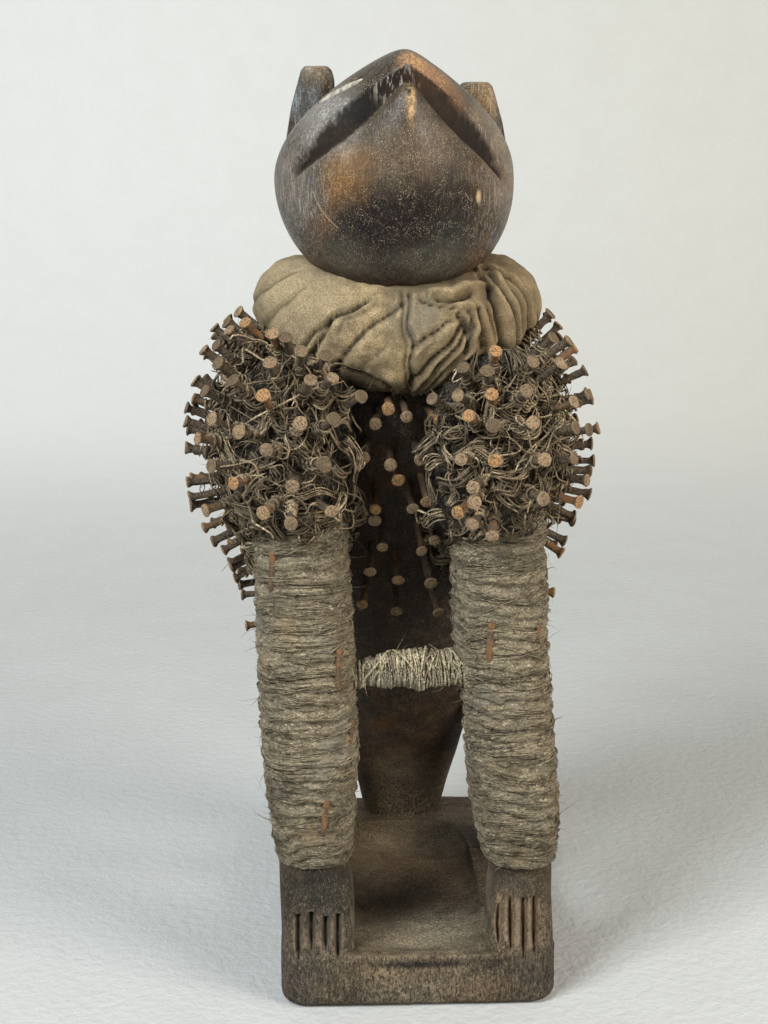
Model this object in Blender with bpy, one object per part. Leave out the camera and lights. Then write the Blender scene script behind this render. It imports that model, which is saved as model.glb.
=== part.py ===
"""Seated animal power figure of carved wood, with bound forelegs, nailed shoulders and a cloth collar.

Lengths are in metres. X runs to the viewer's right, Y to the back and Z up, and the origin is the
middle of the base's underside. Left and right are the viewer's. Depths called "back" are measured
from the base's front edge.
"""

import math

import bmesh
import bpy
from mathutils import Matrix, Vector

LEFT = -1
RIGHT = 1
SIDE_NAMES = {LEFT: "left", RIGHT: "right"}
GAP = 0.0003                    # between pieces that touch
CLEAR = 0.0004                  # how far a neighbour is swollen before it cuts a piece

# The base, with its dished top
BASE_WIDTH = 0.138
BASE_DEPTH = 0.205
BASE_HEIGHT = 0.028
BASE_CORNER = 0.014
BASE_UNDER_EDGE = 0.005
DISH_BACK = 0.087
DISH_POWER = 4.5
# the dish narrows downwards: height, half width, half depth
DISH_STATIONS = (
    (0.0300, 0.0375, 0.0850),
    (0.0262, 0.0350, 0.0800),
    (0.0236, 0.0290, 0.0700),
    (0.0224, 0.0190, 0.0500),
)
DISH_SIDES = 20

# The figure leans a little to the left as it rises
LEAN = -0.0105
LEAN_FROM = 0.030
LEAN_TO = 0.290

# Forelegs, as (height, X of the middle), and the feet below them
LEG_PATHS = {
    LEFT: ((0.020, -0.0515), (0.072, -0.0518), (0.125, -0.0533),
           (0.185, -0.0553), (0.240, -0.0568), (0.292, -0.0580)),
    RIGHT: ((0.020, 0.0530), (0.066, 0.0524), (0.103, 0.0484),
            (0.150, 0.0443), (0.185, 0.0402), (0.292, 0.0370)),
}
LEG_BACK = 0.026
LEG_TOP = 0.292
LEG_HALF = {LEFT: 0.0180, RIGHT: 0.0162}
FOOT_HALF_DEPTH = 0.021
# height, width, depth and squareness of the foot as it narrows into the ankle
FOOT_STATIONS = (
    (0.018, 1.0, 1.0, 4.5),
    (0.034, 1.0, 0.99, 4.5),
    (0.052, 0.98, 0.92, 3.8),
    (0.064, 0.90, 0.80, 2.8),
)
TOE_COUNT = 5
TOE_HEIGHT = 0.025
TOE_GROOVE = 0.0026
TOE_GROOVE_DEPTH = 0.0045
TOE_LIE_BACK = math.radians(-9)

# Twine round the forelegs, as (height, half the thickness), and the tie between them
BINDING_HALVES = {
    LEFT: ((0.072, 0.0186), (0.088, 0.0205), (0.128, 0.0236),
           (0.182, 0.0235), (0.236, 0.0227), (0.249, 0.0221)),
    RIGHT: ((0.070, 0.0178), (0.084, 0.0206), (0.103, 0.0220),
            (0.150, 0.0219), (0.200, 0.0232), (0.249, 0.0221)),
}
BINDING_DEPTH = 1.06            # how much deeper than wide a binding is
TIE_HEIGHT = 0.1665
TIE_HALF_LOW = 0.0058
TIE_HALF_HIGH = 0.0086
TIE_IN = 0.0012                 # from the wood's side into the twine

# The head, tilted up, measured back from the snout along the muzzle
HEAD_TILT = math.radians(32.5)
HEAD_TURN = math.radians(3.5)
HEAD_LENGTH = 0.122
SNOUT_ACROSS = 0.0042
SNOUT_BACK = 0.001
SNOUT_HEIGHT = 0.4460
# each profile is its greatest size, how far back that is, and how fast it swells from the snout
HEAD_HALF_WIDTH = (0.0582, 0.078, 0.95)
HEAD_CROWN = (0.0372, 0.080, 0.38)
HEAD_JAW = (0.0645, 0.070, 0.76)
MOUTH_LENGTH = {LEFT: 0.0555, RIGHT: 0.0605}
MOUTH_DROP = 0.0120
MOUTH_LEVEL = 0.030             # from here back the mouth runs level with the muzzle
MOUTH_OPENING = 0.0092
MOUTH_DEPTH = 0.0100
MOUTH_OUTSIDE = 0.006           # how far the notch's cutter stands out of the wood

# Ears and eyes
EAR_OUT = {LEFT: 0.0395, RIGHT: 0.0420}
EAR_HEIGHT = {LEFT: 0.4350, RIGHT: 0.4275}
EAR_BACK = 0.087
EAR_SPLAY = math.radians(9)
EAR_HALF_THICK = 0.0048
# height above the ear's middle, half width
EAR_PROFILE = (
    (-0.0260, 0.0050),
    (-0.0120, 0.0096),
    (0.0040, 0.0112),
    (0.0170, 0.0108),
    (0.0225, 0.0085),
    (0.0235, 0.0060),
)
EAR_HOLLOW = Vector((0.0078, 0.0040, 0.0140))
EYE_HALF = Vector((0.0125, 0.0038, 0.0024))
EYE_ALONG = 0.036
EYE_SUNK = 0.0012
EYE_TURN = {LEFT: math.radians(56), RIGHT: math.radians(34)}    # from the crown towards the side

# Shoulders wrapped in fibre and pitch, and the nails in them
NAIL_SHANK = 0.0019
NAIL_HEAD = 0.0036
NAIL_HEAD_THICK = 0.0013
NAIL_OUT = 0.0235
SHOULDER_NAIL_IN = 0.007
NAIL_SIDES = 5
SHOULDER_NAILS = 86
SHOULDER_SOLID_STEP = 2         # the solid carries every second nail
BREAST_FREE = 0.027              # half the width kept clear for the nails in the chest
NAILS_LOW = 0.206
NAILS_HIGH = 0.323
NAILS_LEVEL = 0.225
NAILS_LOW_RISE = math.radians(-28)
NAILS_HIGH_RISE = math.radians(40)
NAILS_FIRST_TURN = math.radians(-58)
NAILS_LAST_TURN = math.radians(165)
GOLDEN_TURN = math.pi * (3 - math.sqrt(5))

# The neck and the cloth round it
NECK_BACK = 0.071
CLOTH_LOW_FRONT = 0.304
CLOTH_TOP = 0.368
CLOTH_HALF_WIDTH = 0.0690
CLOTH_KNOT = 0.0045             # how much further the knotted right side stands out
CLOTH_INNER = 0.020             # the collar starts this far from the neck's middle, inside the wood
CLOTH_AROUND = 22
CLOTH_SECTION = 9


def back(distance):
    """The Y of a point this far behind the base's front edge."""
    return distance - BASE_DEPTH / 2


def mix(low, high, share):
    return low + (high - low) * share


def smooth(share):
    share = min(1.0, max(0.0, share))
    return share * share * (3 - 2 * share)


def lean(height):
    return LEAN * smooth((height - LEAN_FROM) / (LEAN_TO - LEAN_FROM))


def between(stations, at):
    """Reads a list of (position, values) at a position, in straight stretches."""
    for (low, first), (high, second) in zip(stations, stations[1:]):
        if at <= high:
            share = min(1.0, max(0.0, (at - low) / (high - low)))
            return [mix(a, b, share) for a, b in zip(first, second)]
    return list(stations[-1][1])


def new_object(name, mesh, collection):
    made = bpy.data.objects.new(name, mesh)
    collection.objects.link(made)
    return made


def finish_mesh(name, work, collection):
    """Turns every face outward and makes the object."""
    bmesh.ops.recalc_face_normals(work, faces=work.faces)
    if work.calc_volume(signed=True) < 0:
        bmesh.ops.reverse_faces(work, faces=work.faces)
    mesh = bpy.data.meshes.new(name)
    work.to_mesh(mesh)
    work.free()
    return new_object(name, mesh, collection)


def ring(centre, half_x, half_y, count, power=2.0):
    """A level ring of points, round at power 2 and squarer above it."""
    points = []
    for step in range(count):
        angle = math.tau * step / count
        across = math.copysign(abs(math.cos(angle)) ** (2 / power), math.cos(angle))
        along = math.copysign(abs(math.sin(angle)) ** (2 / power), math.sin(angle))
        points.append(Vector(centre) + Vector((half_x * across, half_y * along, 0)))
    return points


def loft(name, rings, collection, closed=False):
    """A solid through rings of equally many points, capped at both ends unless it closes on itself."""
    work = bmesh.new()
    rows = [[work.verts.new(point) for point in points] for points in rings]
    pairs = list(zip(rows, rows[1:]))
    if closed:
        pairs.append((rows[-1], rows[0]))
    for low, high in pairs:
        for step in range(len(low)):
            after = (step + 1) % len(low)
            work.faces.new((low[step], low[after], high[after], high[step]))
    # bent quads are split here, so that a swollen copy has the same flat faces as its original
    bmesh.ops.triangulate(work, faces=work.faces)
    if not closed:
        work.faces.new(rows[0])
        work.faces.new(rows[-1])
    return finish_mesh(name, work, collection)


def ellipsoid(name, centre, half, collection, turn=None, segments=14, rows=8):
    work = bmesh.new()
    bmesh.ops.create_uvsphere(work, u_segments=segments, v_segments=rows, radius=1.0)
    turn = turn or Matrix.Identity(3)
    place = Matrix.Translation(centre) @ turn.to_4x4() @ Matrix.Diagonal((*half, 1.0))
    work.transform(place)
    return finish_mesh(name, work, collection)


def boolean(target, operand, operation, solver="EXACT"):
    modifier = target.modifiers.new(operation.title(), "BOOLEAN")
    modifier.operation = operation
    modifier.solver = solver
    if isinstance(operand, bpy.types.Collection):
        modifier.operand_type = "COLLECTION"
        modifier.collection = operand
    else:
        modifier.object = operand
    return modifier


def settled(obj):
    """Gives the object the mesh that its modifiers make, and drops them."""
    graph = bpy.context.evaluated_depsgraph_get()
    graph.update()
    mesh = bpy.data.meshes.new_from_object(obj.evaluated_get(graph))
    obj.modifiers.clear()
    obj.data = mesh
    return obj


def swollen(neighbour, collection):
    """A hidden copy of a neighbour, a little larger, that cuts whatever lies against it."""
    copy = new_object("swollen_" + neighbour.name, neighbour.data.copy(), collection)
    displace = copy.modifiers.new("Swell", "DISPLACE")
    displace.strength = CLEAR
    displace.mid_level = 0.0
    return copy


# The base, feet and forelegs

def make_base(collection, cutters):
    work = bmesh.new()
    bmesh.ops.create_cube(work, size=1.0)
    work.transform(Matrix.Diagonal((BASE_WIDTH, BASE_DEPTH, BASE_HEIGHT, 1.0)))
    work.transform(Matrix.Translation((0, 0, BASE_HEIGHT / 2)))
    uprights = [e for e in work.edges if abs(e.verts[0].co.z - e.verts[1].co.z) > GAP]
    bmesh.ops.bevel(work, geom=uprights, offset=BASE_CORNER, segments=3, profile=0.5, affect="EDGES")
    under = [e for e in work.edges if max(v.co.z for v in e.verts) < GAP]
    bmesh.ops.bevel(work, geom=under, offset=BASE_UNDER_EDGE, segments=2, profile=0.5, affect="EDGES")
    base = finish_mesh("base", work, collection)
    rings = []
    for height, half_x, half_y in reversed(DISH_STATIONS):
        rings.append(ring((0, back(DISH_BACK), height), half_x, half_y, DISH_SIDES, DISH_POWER))
    boolean(base, loft("dish", rings, cutters), "DIFFERENCE")
    settled(base)


def leg_centre(side, height):
    path = [(at, (across,)) for at, across in LEG_PATHS[side]]
    return Vector((between(path, height)[0], back(LEG_BACK), height))


def leg_half(side, height):
    """Half the foreleg's thickness, swelling slowly from ankle to shoulder."""
    return LEG_HALF[side] * mix(0.96, 1.08, smooth(height / LEG_TOP))


def make_leg(side, collection):
    heights = (0.020, 0.070, 0.155, 0.240, 0.275, LEG_TOP)
    shares = (1.0, 1.0, 1.0, 1.05, 1.0, 0.6)
    rings = []
    for height, share in zip(heights, shares):
        half = leg_half(side, height) * share
        rings.append(ring(leg_centre(side, height), half, half, 10, 2.6))
    return loft("foreleg_" + SIDE_NAMES[side], rings, collection)


def foot_centre(side):
    return Vector((side * (BASE_WIDTH / 2 - LEG_HALF[side] - 0.0012), back(FOOT_HALF_DEPTH + 0.0005), 0))


def make_foot(side, collection):
    centre = foot_centre(side)
    half = LEG_HALF[side]
    rings = []
    for height, wide, deep, power in FOOT_STATIONS:
        shift = Vector((0, FOOT_HALF_DEPTH * (1 - deep), height))
        rings.append(ring(centre + shift, half * wide, FOOT_HALF_DEPTH * deep, 16, power))
    return loft("foot_" + SIDE_NAMES[side], rings, collection)


def cut_toes(side, cutters):
    """Grooves down the foot's front that part it into toes."""
    centre = foot_centre(side)
    pitch = 2 * LEG_HALF[side] * 0.9 / TOE_COUNT
    for number in range(1, TOE_COUNT):
        across = (number - TOE_COUNT / 2) * pitch
        work = bmesh.new()
        bmesh.ops.create_cube(work, size=1.0)
        for vert in work.verts:
            narrow = 0.25 if vert.co.y > 0 else 1.0
            vert.co.x *= TOE_GROOVE * narrow
            vert.co.y *= 2 * TOE_GROOVE_DEPTH
            vert.co.z *= TOE_HEIGHT
        middle = BASE_HEIGHT + TOE_HEIGHT / 2 - 0.001
        lie_back = Matrix.Rotation(TOE_LIE_BACK, 4, "X")
        work.transform(Matrix.Translation((centre.x + across, back(0.0005), middle)) @ lie_back)
        finish_mesh(f"toe_groove_{SIDE_NAMES[side]}_{number}", work, cutters)


# The body, from the rump on the base up to the neck

BODY_STATIONS = (
    # height: (back, half width, half depth)
    (0.018, (0.1880, 0.0215, 0.0130)),
    (0.045, (0.1850, 0.0262, 0.0165)),
    (0.078, (0.1750, 0.0345, 0.0260)),
    (0.115, (0.1580, 0.0430, 0.0360)),
    (0.155, (0.1380, 0.0500, 0.0420)),
    (0.200, (0.1160, 0.0540, 0.0470)),
    (0.240, (0.100, 0.0560, 0.0500)),
    (0.275, (0.086, 0.0580, 0.0500)),
    (0.305, (0.077, 0.0500, 0.0430)),
    (0.328, (0.072, 0.0360, 0.0330)),
    (0.350, (NECK_BACK, 0.0295, 0.0280)),
    (0.375, (NECK_BACK + 0.003, 0.0260, 0.0250)),
)
BODY_SIDES = 18
BODY_POWER = 2.3


def body_section(height):
    """Centre, half width and half depth of the body at a height."""
    where, half_x, half_y = between(BODY_STATIONS, height)
    return Vector((lean(height), back(where), height)), half_x, half_y


def make_body(collection):
    rings = []
    for height, _ in BODY_STATIONS:
        centre, half_x, half_y = body_section(height)
        rings.append(ring(centre, half_x, half_y, BODY_SIDES, BODY_POWER))
    return loft("body", rings, collection)


def body_front(across, height):
    """The point of the body's front surface that lies this far across from its middle."""
    centre, half_x, half_y = body_section(height)
    share = max(0.0, 1 - abs(across / half_x) ** BODY_POWER) ** (1 / BODY_POWER)
    return centre + Vector((across, -half_y * share, 0))


HIND_LEG = (
    # out from the middle, back, height, radius: hip, thigh, knee, shin, heel
    (0.0300, 0.174, 0.114, 0.0220),
    (0.0460, 0.155, 0.116, 0.0195),
    (0.0570, 0.128, 0.100, 0.0155),
    (0.0575, 0.126, 0.066, 0.0115),
    (0.0565, 0.140, 0.040, 0.0100),
    (0.0555, 0.143, 0.020, 0.0110),
)
HIND_FOOT_HALF = Vector((0.0115, 0.0210, 0.0085))


def tube_rings(path, sides):
    """Rings square to a path of (point, radius)."""
    rings = []
    for step, (point, radius) in enumerate(path):
        before = path[max(step - 1, 0)][0]
        after = path[min(step + 1, len(path) - 1)][0]
        ahead = (after - before).normalized()
        across = ahead.cross(Vector((0.9, 0.1, 0.2))).normalized()
        up = across.cross(ahead).normalized()
        angles = [math.tau * k / sides for k in range(sides)]
        rings.append([point + radius * (math.cos(a) * across + math.sin(a) * up) for a in angles])
    return rings


def make_hind_leg(side, collection):
    path = [(Vector((lean(z) + side * x, back(y), z)), r) for x, y, z, r in HIND_LEG]
    loft("hind_leg_" + SIDE_NAMES[side], tube_rings(path, 8), collection)
    x, y, _, _ = HIND_LEG[-1]
    centre = Vector((side * x, back(y - 0.010), BASE_HEIGHT + 0.003))
    ellipsoid("hind_foot_" + SIDE_NAMES[side], centre, HIND_FOOT_HALF, collection, segments=10, rows=5)


# The head

def head_frame():
    """The snout, and the head's own side, muzzle and crown directions."""
    turn = Matrix.Rotation(HEAD_TURN, 3, "Z")
    side = turn @ Vector((1, 0, 0))
    muzzle = turn @ Vector((0, -math.cos(HEAD_TILT), math.sin(HEAD_TILT)))
    crown = turn @ Vector((0, math.sin(HEAD_TILT), math.cos(HEAD_TILT)))
    return Vector((LEAN + SNOUT_ACROSS, back(SNOUT_BACK), SNOUT_HEIGHT)), side, muzzle, crown


def swell(along, profile):
    """Rises from nothing at the snout to the profile's size, and rounds off at the back of the head."""
    size, widest, power = profile
    if along <= widest:
        return size * math.sin(math.pi / 2 * (along / widest) ** power)
    share = min(1.0, (along - widest) / (HEAD_LENGTH - widest))
    return size * math.sqrt(max(0.0, 1 - share * share))


def head_point(along, angle):
    """A point of the head's surface: angle 0 is the right side and a quarter turn the crown."""
    snout, side, muzzle, crown = head_frame()
    wide = swell(along, HEAD_HALF_WIDTH)
    up = math.sin(angle) * swell(along, HEAD_CROWN if math.sin(angle) > 0 else HEAD_JAW)
    return snout - muzzle * along + side * (wide * math.cos(angle)) + crown * up


def make_head(collection):
    places = (0.0003, 0.002, 0.006, 0.014, 0.027, 0.044, 0.061, 0.078, 0.092, 0.104, 0.1135, 0.1195, 0.1217)
    sides = 20
    rings = [[head_point(place, math.tau * k / sides) for k in range(sides)] for place in places]
    return loft("head", rings, collection)


def mouth_angle(along):
    """Where the mouth's line runs on the head, below the side."""
    drop = MOUTH_DROP * min(1.0, along / MOUTH_LEVEL) ** 0.5
    return -math.asin(min(0.95, drop / swell(along, HEAD_JAW)))


def cut_mouth(cutters):
    """A notch under the upper lip, from one corner of the mouth round the snout to the other."""
    snout, side, muzzle, crown = head_frame()
    pivot = snout - muzzle * (MOUTH_LENGTH[LEFT] * 1.1)
    shares = (1.05, 0.95, 0.8, 0.6, 0.4, 0.22, 0.09, 0.02)
    rings = []
    for hand, share in [(LEFT, s) for s in shares] + [(RIGHT, s) for s in reversed(shares)]:
        along = MOUTH_LENGTH[hand] * share
        angle = mouth_angle(along)
        lip = head_point(along, angle if hand == RIGHT else math.pi - angle)
        outward = lip - pivot
        outward = (outward - crown * outward.dot(crown)).normalized()
        fade = (1 - smooth((share - 0.72) / 0.33)) * mix(0.35, 1.0, smooth(share / 0.2)) + 0.05
        outer = lip + outward * MOUTH_OUTSIDE
        inner = lip - outward * MOUTH_DEPTH * fade
        half = crown * MOUTH_OPENING / 2 * fade
        rings.append([outer + half, outer - half * 1.75, inner + half * 0.35, inner + half * 0.95])
    return loft("mouth", rings, cutters)


def make_ear(side, collection, cutters):
    """An ear with a blunt top, and the cutter that hollows its front."""
    centre = Vector((LEAN + side * EAR_OUT[side], back(EAR_BACK), EAR_HEIGHT[side]))
    turn = Matrix.Rotation(EAR_SPLAY * side, 3, "Y") @ Matrix.Rotation(math.radians(6), 3, "X")
    rings = []
    for up, half in EAR_PROFILE:
        level = ring((0, 0, up), half, EAR_HALF_THICK, 12, 2.4)
        rings.append([centre + turn @ point for point in level])
    loft("ear_" + SIDE_NAMES[side], rings, collection)
    hollow = centre + turn @ Vector((0, -EAR_HALF_THICK * 1.1, EAR_HALF_THICK))
    ellipsoid("ear_hollow_" + SIDE_NAMES[side], hollow, EAR_HOLLOW, cutters, turn, segments=10, rows=6)


def eye_place(side):
    """Centre of an eye on the head, and the turn that lays it along the muzzle."""
    _, across, muzzle, crown = head_frame()
    angle = math.pi / 2 - side * EYE_TURN[side]
    centre = head_point(EYE_ALONG, angle)
    ahead = (head_point(EYE_ALONG - 0.004, angle) - head_point(EYE_ALONG + 0.004, angle)).normalized()
    beside = head_point(EYE_ALONG, angle + 0.1) - head_point(EYE_ALONG, angle - 0.1)
    outward = ahead.cross(beside).normalized()
    if outward.dot(crown + side * across) < 0:
        outward = -outward
    third = outward.cross(ahead).normalized()
    return centre - outward * EYE_SUNK, Matrix((ahead, third, outward)).transposed()


def make_eye(side, collection, cutters):
    centre, turn = eye_place(side)
    eye = ellipsoid(SIDE_NAMES[side] + "_eye", centre, EYE_HALF, collection, turn, segments=10, rows=6)
    socket = EYE_HALF + Vector((CLEAR, CLEAR, CLEAR)) * 1.5
    ellipsoid("eye_socket_" + SIDE_NAMES[side], centre, socket, cutters, turn, segments=10, rows=6)
    return eye


# Nails

def nail_profile(length):
    """Radius and distance along a nail, from its root to its head."""
    neck = length - NAIL_HEAD_THICK
    return ((NAIL_SHANK, 0.0), (NAIL_SHANK, neck), (NAIL_HEAD, neck), (NAIL_HEAD, length))


def add_nail(work, root, direction, length):
    """Turns one nail's profile about its own line, in an open bmesh."""
    ahead = direction.normalized()
    across = ahead.cross(Vector((0.31, 0.17, 0.93))).normalized()
    up = ahead.cross(across)
    rows = []
    for radius, along in nail_profile(length):
        row = []
        for step in range(NAIL_SIDES):
            angle = math.tau * step / NAIL_SIDES
            offset = across * math.cos(angle) + up * math.sin(angle)
            row.append(work.verts.new(root + ahead * along + offset * radius))
        rows.append(row)
    for low, high in zip(rows, rows[1:]):
        for step in range(NAIL_SIDES):
            after = (step + 1) % NAIL_SIDES
            work.faces.new((low[step], low[after], high[after], high[step]))
    work.faces.new(rows[0])
    work.faces.new(rows[-1])


CHEST_NAILS = (
    # across from the body's middle, height: three loose columns down the chest
    (-0.0135, 0.2870), (-0.0040, 0.2970), (0.0060, 0.2870),
    (-0.0085, 0.2640), (0.0050, 0.2480), (0.0110, 0.2650),
    (-0.0070, 0.2310), (-0.0200, 0.2260), (0.0135, 0.2270),
    (-0.0150, 0.2110), (0.0010, 0.2140), (0.0170, 0.2050),
    (-0.0195, 0.1960), (0.0000, 0.1930),
)
CHEST_NAIL_OUT = 0.021
CHEST_NAIL_IN = 0.007
HOLE_SIDES = 6


def chest_nail_line(across, height):
    """Surface point of a chest nail and the way it points, square to the belly and drooping."""
    point = body_front(across, height)
    above = body_front(across, height + 0.004)
    aside = body_front(across + 0.004, height)
    outward = (aside - point).cross(above - point).normalized()
    if outward.y > 0:
        outward = -outward
    return point, (outward + Vector((0, 0, -0.14))).normalized()


def make_chest_nails(collection, cutters):
    made = []
    for number, (across, height) in enumerate(CHEST_NAILS, 1):
        point, outward = chest_nail_line(across, height)
        root = point - outward * CHEST_NAIL_IN
        work = bmesh.new()
        add_nail(work, root, outward, CHEST_NAIL_IN + CHEST_NAIL_OUT)
        made.append(finish_mesh(f"chest_nail_{number:02d}", work, collection))
        hole = bmesh.new()
        length = CHEST_NAIL_IN * 2
        radius = (NAIL_SHANK + CLEAR) / math.cos(math.pi / HOLE_SIDES)
        bmesh.ops.create_cone(hole, cap_ends=True, segments=HOLE_SIDES, radius1=radius,
                              radius2=radius, depth=length)
        lie = outward.to_track_quat("Z", "Y").to_matrix().to_4x4()
        hole.transform(Matrix.Translation(root + outward * (length / 2 - CLEAR)) @ lie)
        finish_mesh(f"nail_hole_{number:02d}", hole, cutters)
    return made


SHOULDER_STATIONS = (
    # height: (out from the middle, back, half width, half depth)
    (0.197, (0.0450, 0.096, 0.0130, 0.0180)),
    (0.203, (0.0460, 0.094, 0.0160, 0.0240)),
    (0.226, (0.0465, 0.082, 0.0225, 0.0400)),
    (0.241, (0.0480, 0.058, 0.0270, 0.0560)),
    (0.254, (0.0490, 0.050, 0.0295, 0.0560)),
    (0.284, (0.0500, 0.046, 0.0305, 0.0530)),
    (0.306, (0.0495, 0.047, 0.0275, 0.0450)),
    (0.321, (0.0480, 0.049, 0.0205, 0.0340)),
    (0.330, (0.0470, 0.050, 0.0090, 0.0160)),
)
SHOULDER_SHIFT = {LEFT: 0.0, RIGHT: -0.0050}


def shoulder_section(side, height):
    out, where, half_x, half_y = between(SHOULDER_STATIONS, height)
    centre = Vector((LEAN + side * out + SHOULDER_SHIFT[side], back(where), height))
    return centre, half_x, half_y


def make_shoulder_pad(side, collection):
    rings = []
    for height, _ in SHOULDER_STATIONS:
        centre, half_x, half_y = shoulder_section(side, height)
        rings.append(ring(centre, half_x, half_y, 14, 2.2))
    return loft(SIDE_NAMES[side] + "_shoulder_nails", rings, collection)


def shoulder_nail_lines(side):
    """Roots and directions of one shoulder's nails, spread evenly by the golden angle."""
    lines = []
    for number in range(SHOULDER_NAILS):
        share = (number + 0.5) / SHOULDER_NAILS
        height = mix(NAILS_LOW, NAILS_HIGH, share ** 0.72)
        centre, half_x, half_y = shoulder_section(side, height)
        # the turn runs from the breast side, past the front and the outer side, to the back
        turn = mix(NAILS_FIRST_TURN, NAILS_LAST_TURN, ((number * GOLDEN_TURN / math.tau) % 1.0) ** 1.2)
        away = Vector((side * math.sin(turn), -math.cos(turn), 0))
        root = centre + Vector((away.x * half_x, away.y * half_y, 0))
        up = smooth((height - NAILS_LEVEL) / (NAILS_HIGH - NAILS_LEVEL))
        rise = mix(NAILS_LOW_RISE, NAILS_HIGH_RISE, up)
        flat = Vector((away.x / half_x, away.y / half_y, 0)).normalized()
        flat = (flat + away * 0.8).normalized()
        lines.append((number, root, flat * math.cos(rise) + Vector((0, 0, math.sin(rise)))))
    return lines


def in_body(point, margin):
    """Whether a point lies in the body, or less than a margin outside it."""
    centre, half_x, half_y = body_section(point.z)
    across = abs(point.x - centre.x) / (half_x + margin)
    along = abs(point.y - centre.y) / (half_y + margin)
    return across ** BODY_POWER + along ** BODY_POWER < 1


def blocked(side, root, head):
    """Whether a nail would come against the cloth or the chest's nails, or start in the body or foreleg."""
    from_neck = Vector((head.x - LEAN, head.y - back(NECK_BACK), 0)).length
    from_leg = Vector((root - leg_centre(side, root.z)).xy).length
    by_cloth = head.z > CLOTH_LOW_FRONT and from_neck < CLOTH_HALF_WIDTH + NAIL_HEAD * 2
    by_leg = root.z < BINDING_HALVES[side][-1][0] and from_leg < BINDING_HALVES[side][-1][1] + NAIL_HEAD
    return by_cloth or by_leg or abs(head.x - LEAN) < BREAST_FREE or in_body(root, NAIL_SHANK * 2)


def make_shoulder_nails(side, pad, collection):
    for number, root, direction in shoulder_nail_lines(side):
        if number % SHOULDER_SOLID_STEP or blocked(side, root, root + direction * NAIL_OUT):
            continue
        work = bmesh.new()
        add_nail(work, root - direction * SHOULDER_NAIL_IN, direction, SHOULDER_NAIL_IN + NAIL_OUT)
        finish_mesh(f"{SIDE_NAMES[side]}_nail_{number:03d}", work, collection)
    boolean(pad, collection, "UNION", "MANIFOLD")


# Bindings, tie and cloth

def make_binding(side, collection):
    rings = []
    for height, half in BINDING_HALVES[side]:
        rings.append(ring(leg_centre(side, height), half, half * BINDING_DEPTH, 16, 2.35))
    return loft(SIDE_NAMES[side] + "_leg_binding", rings, collection)


def make_tie(collection):
    start = leg_centre(LEFT, TIE_HEIGHT).x + leg_half(LEFT, TIE_HEIGHT) + TIE_IN
    end = leg_centre(RIGHT, TIE_HEIGHT).x - leg_half(RIGHT, TIE_HEIGHT) - TIE_IN
    path = []
    for share in (0.0, 0.25, 0.45, 0.62, 0.8, 1.0):
        thick = mix(TIE_HALF_LOW, TIE_HALF_HIGH, smooth(share * 1.7))
        height = TIE_HEIGHT + 0.003 * share + 0.0015 * math.sin(math.pi * share)
        path.append((Vector((mix(start, end, share), back(LEG_BACK - 0.004), height)), thick))
    return loft("leg_tie", tube_rings(path, 12), collection)


def cloth_section(angle):
    """How far out, low and high the collar goes, at an angle that grows from the front to the right."""
    front = max(0.0, math.cos(angle)) ** 1.5
    behind = max(0.0, -math.cos(angle))
    knot = CLOTH_KNOT * max(0.0, math.sin(angle)) ** 2
    reach = CLOTH_HALF_WIDTH - 0.0060 * front - 0.012 * behind + knot
    low = mix(0.320, CLOTH_LOW_FRONT, front)
    top = mix(CLOTH_TOP, 0.3560, front) - 0.006 * behind
    return reach, low, top


def make_cloth(collection):
    rings = []
    for step in range(CLOTH_AROUND):
        angle = math.tau * step / CLOTH_AROUND
        reach, low, top = cloth_section(angle)
        outward = Vector((math.sin(angle), -math.cos(angle), 0))
        middle = Vector((LEAN, back(NECK_BACK), (low + top) / 2)) + outward * (CLOTH_INNER + reach) / 2
        across = outward * (reach - CLOTH_INNER) / 2
        up = Vector((0, 0, (top - low) / 2))
        turns = [math.tau * k / CLOTH_SECTION for k in range(CLOTH_SECTION)]
        rings.append([middle + across * math.cos(turn) + up * math.sin(turn) for turn in turns])
    return loft("neck_cloth", rings, collection, closed=True)


# Materials

def material(name, colour, rough, metallic=0.0):
    made = bpy.data.materials.new(name)
    made.use_nodes = True
    shader = made.node_tree.nodes["Principled BSDF"]
    shader.inputs["Base Color"].default_value = (*colour, 1.0)
    shader.inputs["Roughness"].default_value = rough
    shader.inputs["Metallic"].default_value = metallic
    return made


def paint(obj, finish):
    obj.data.materials.clear()
    obj.data.materials.append(finish)
    obj.data.shade_smooth()
    obj.data.set_sharp_from_angle(angle=math.radians(40))


def new_collection(name, hidden=False):
    made = bpy.data.collections.new(name)
    bpy.context.scene.collection.children.link(made)
    made.hide_render = hidden
    return made


def hide_helpers(*collections):
    for collection in collections:
        for obj in collection.objects:
            obj.hide_render = True
            obj.display_type = "WIRE"


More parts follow.
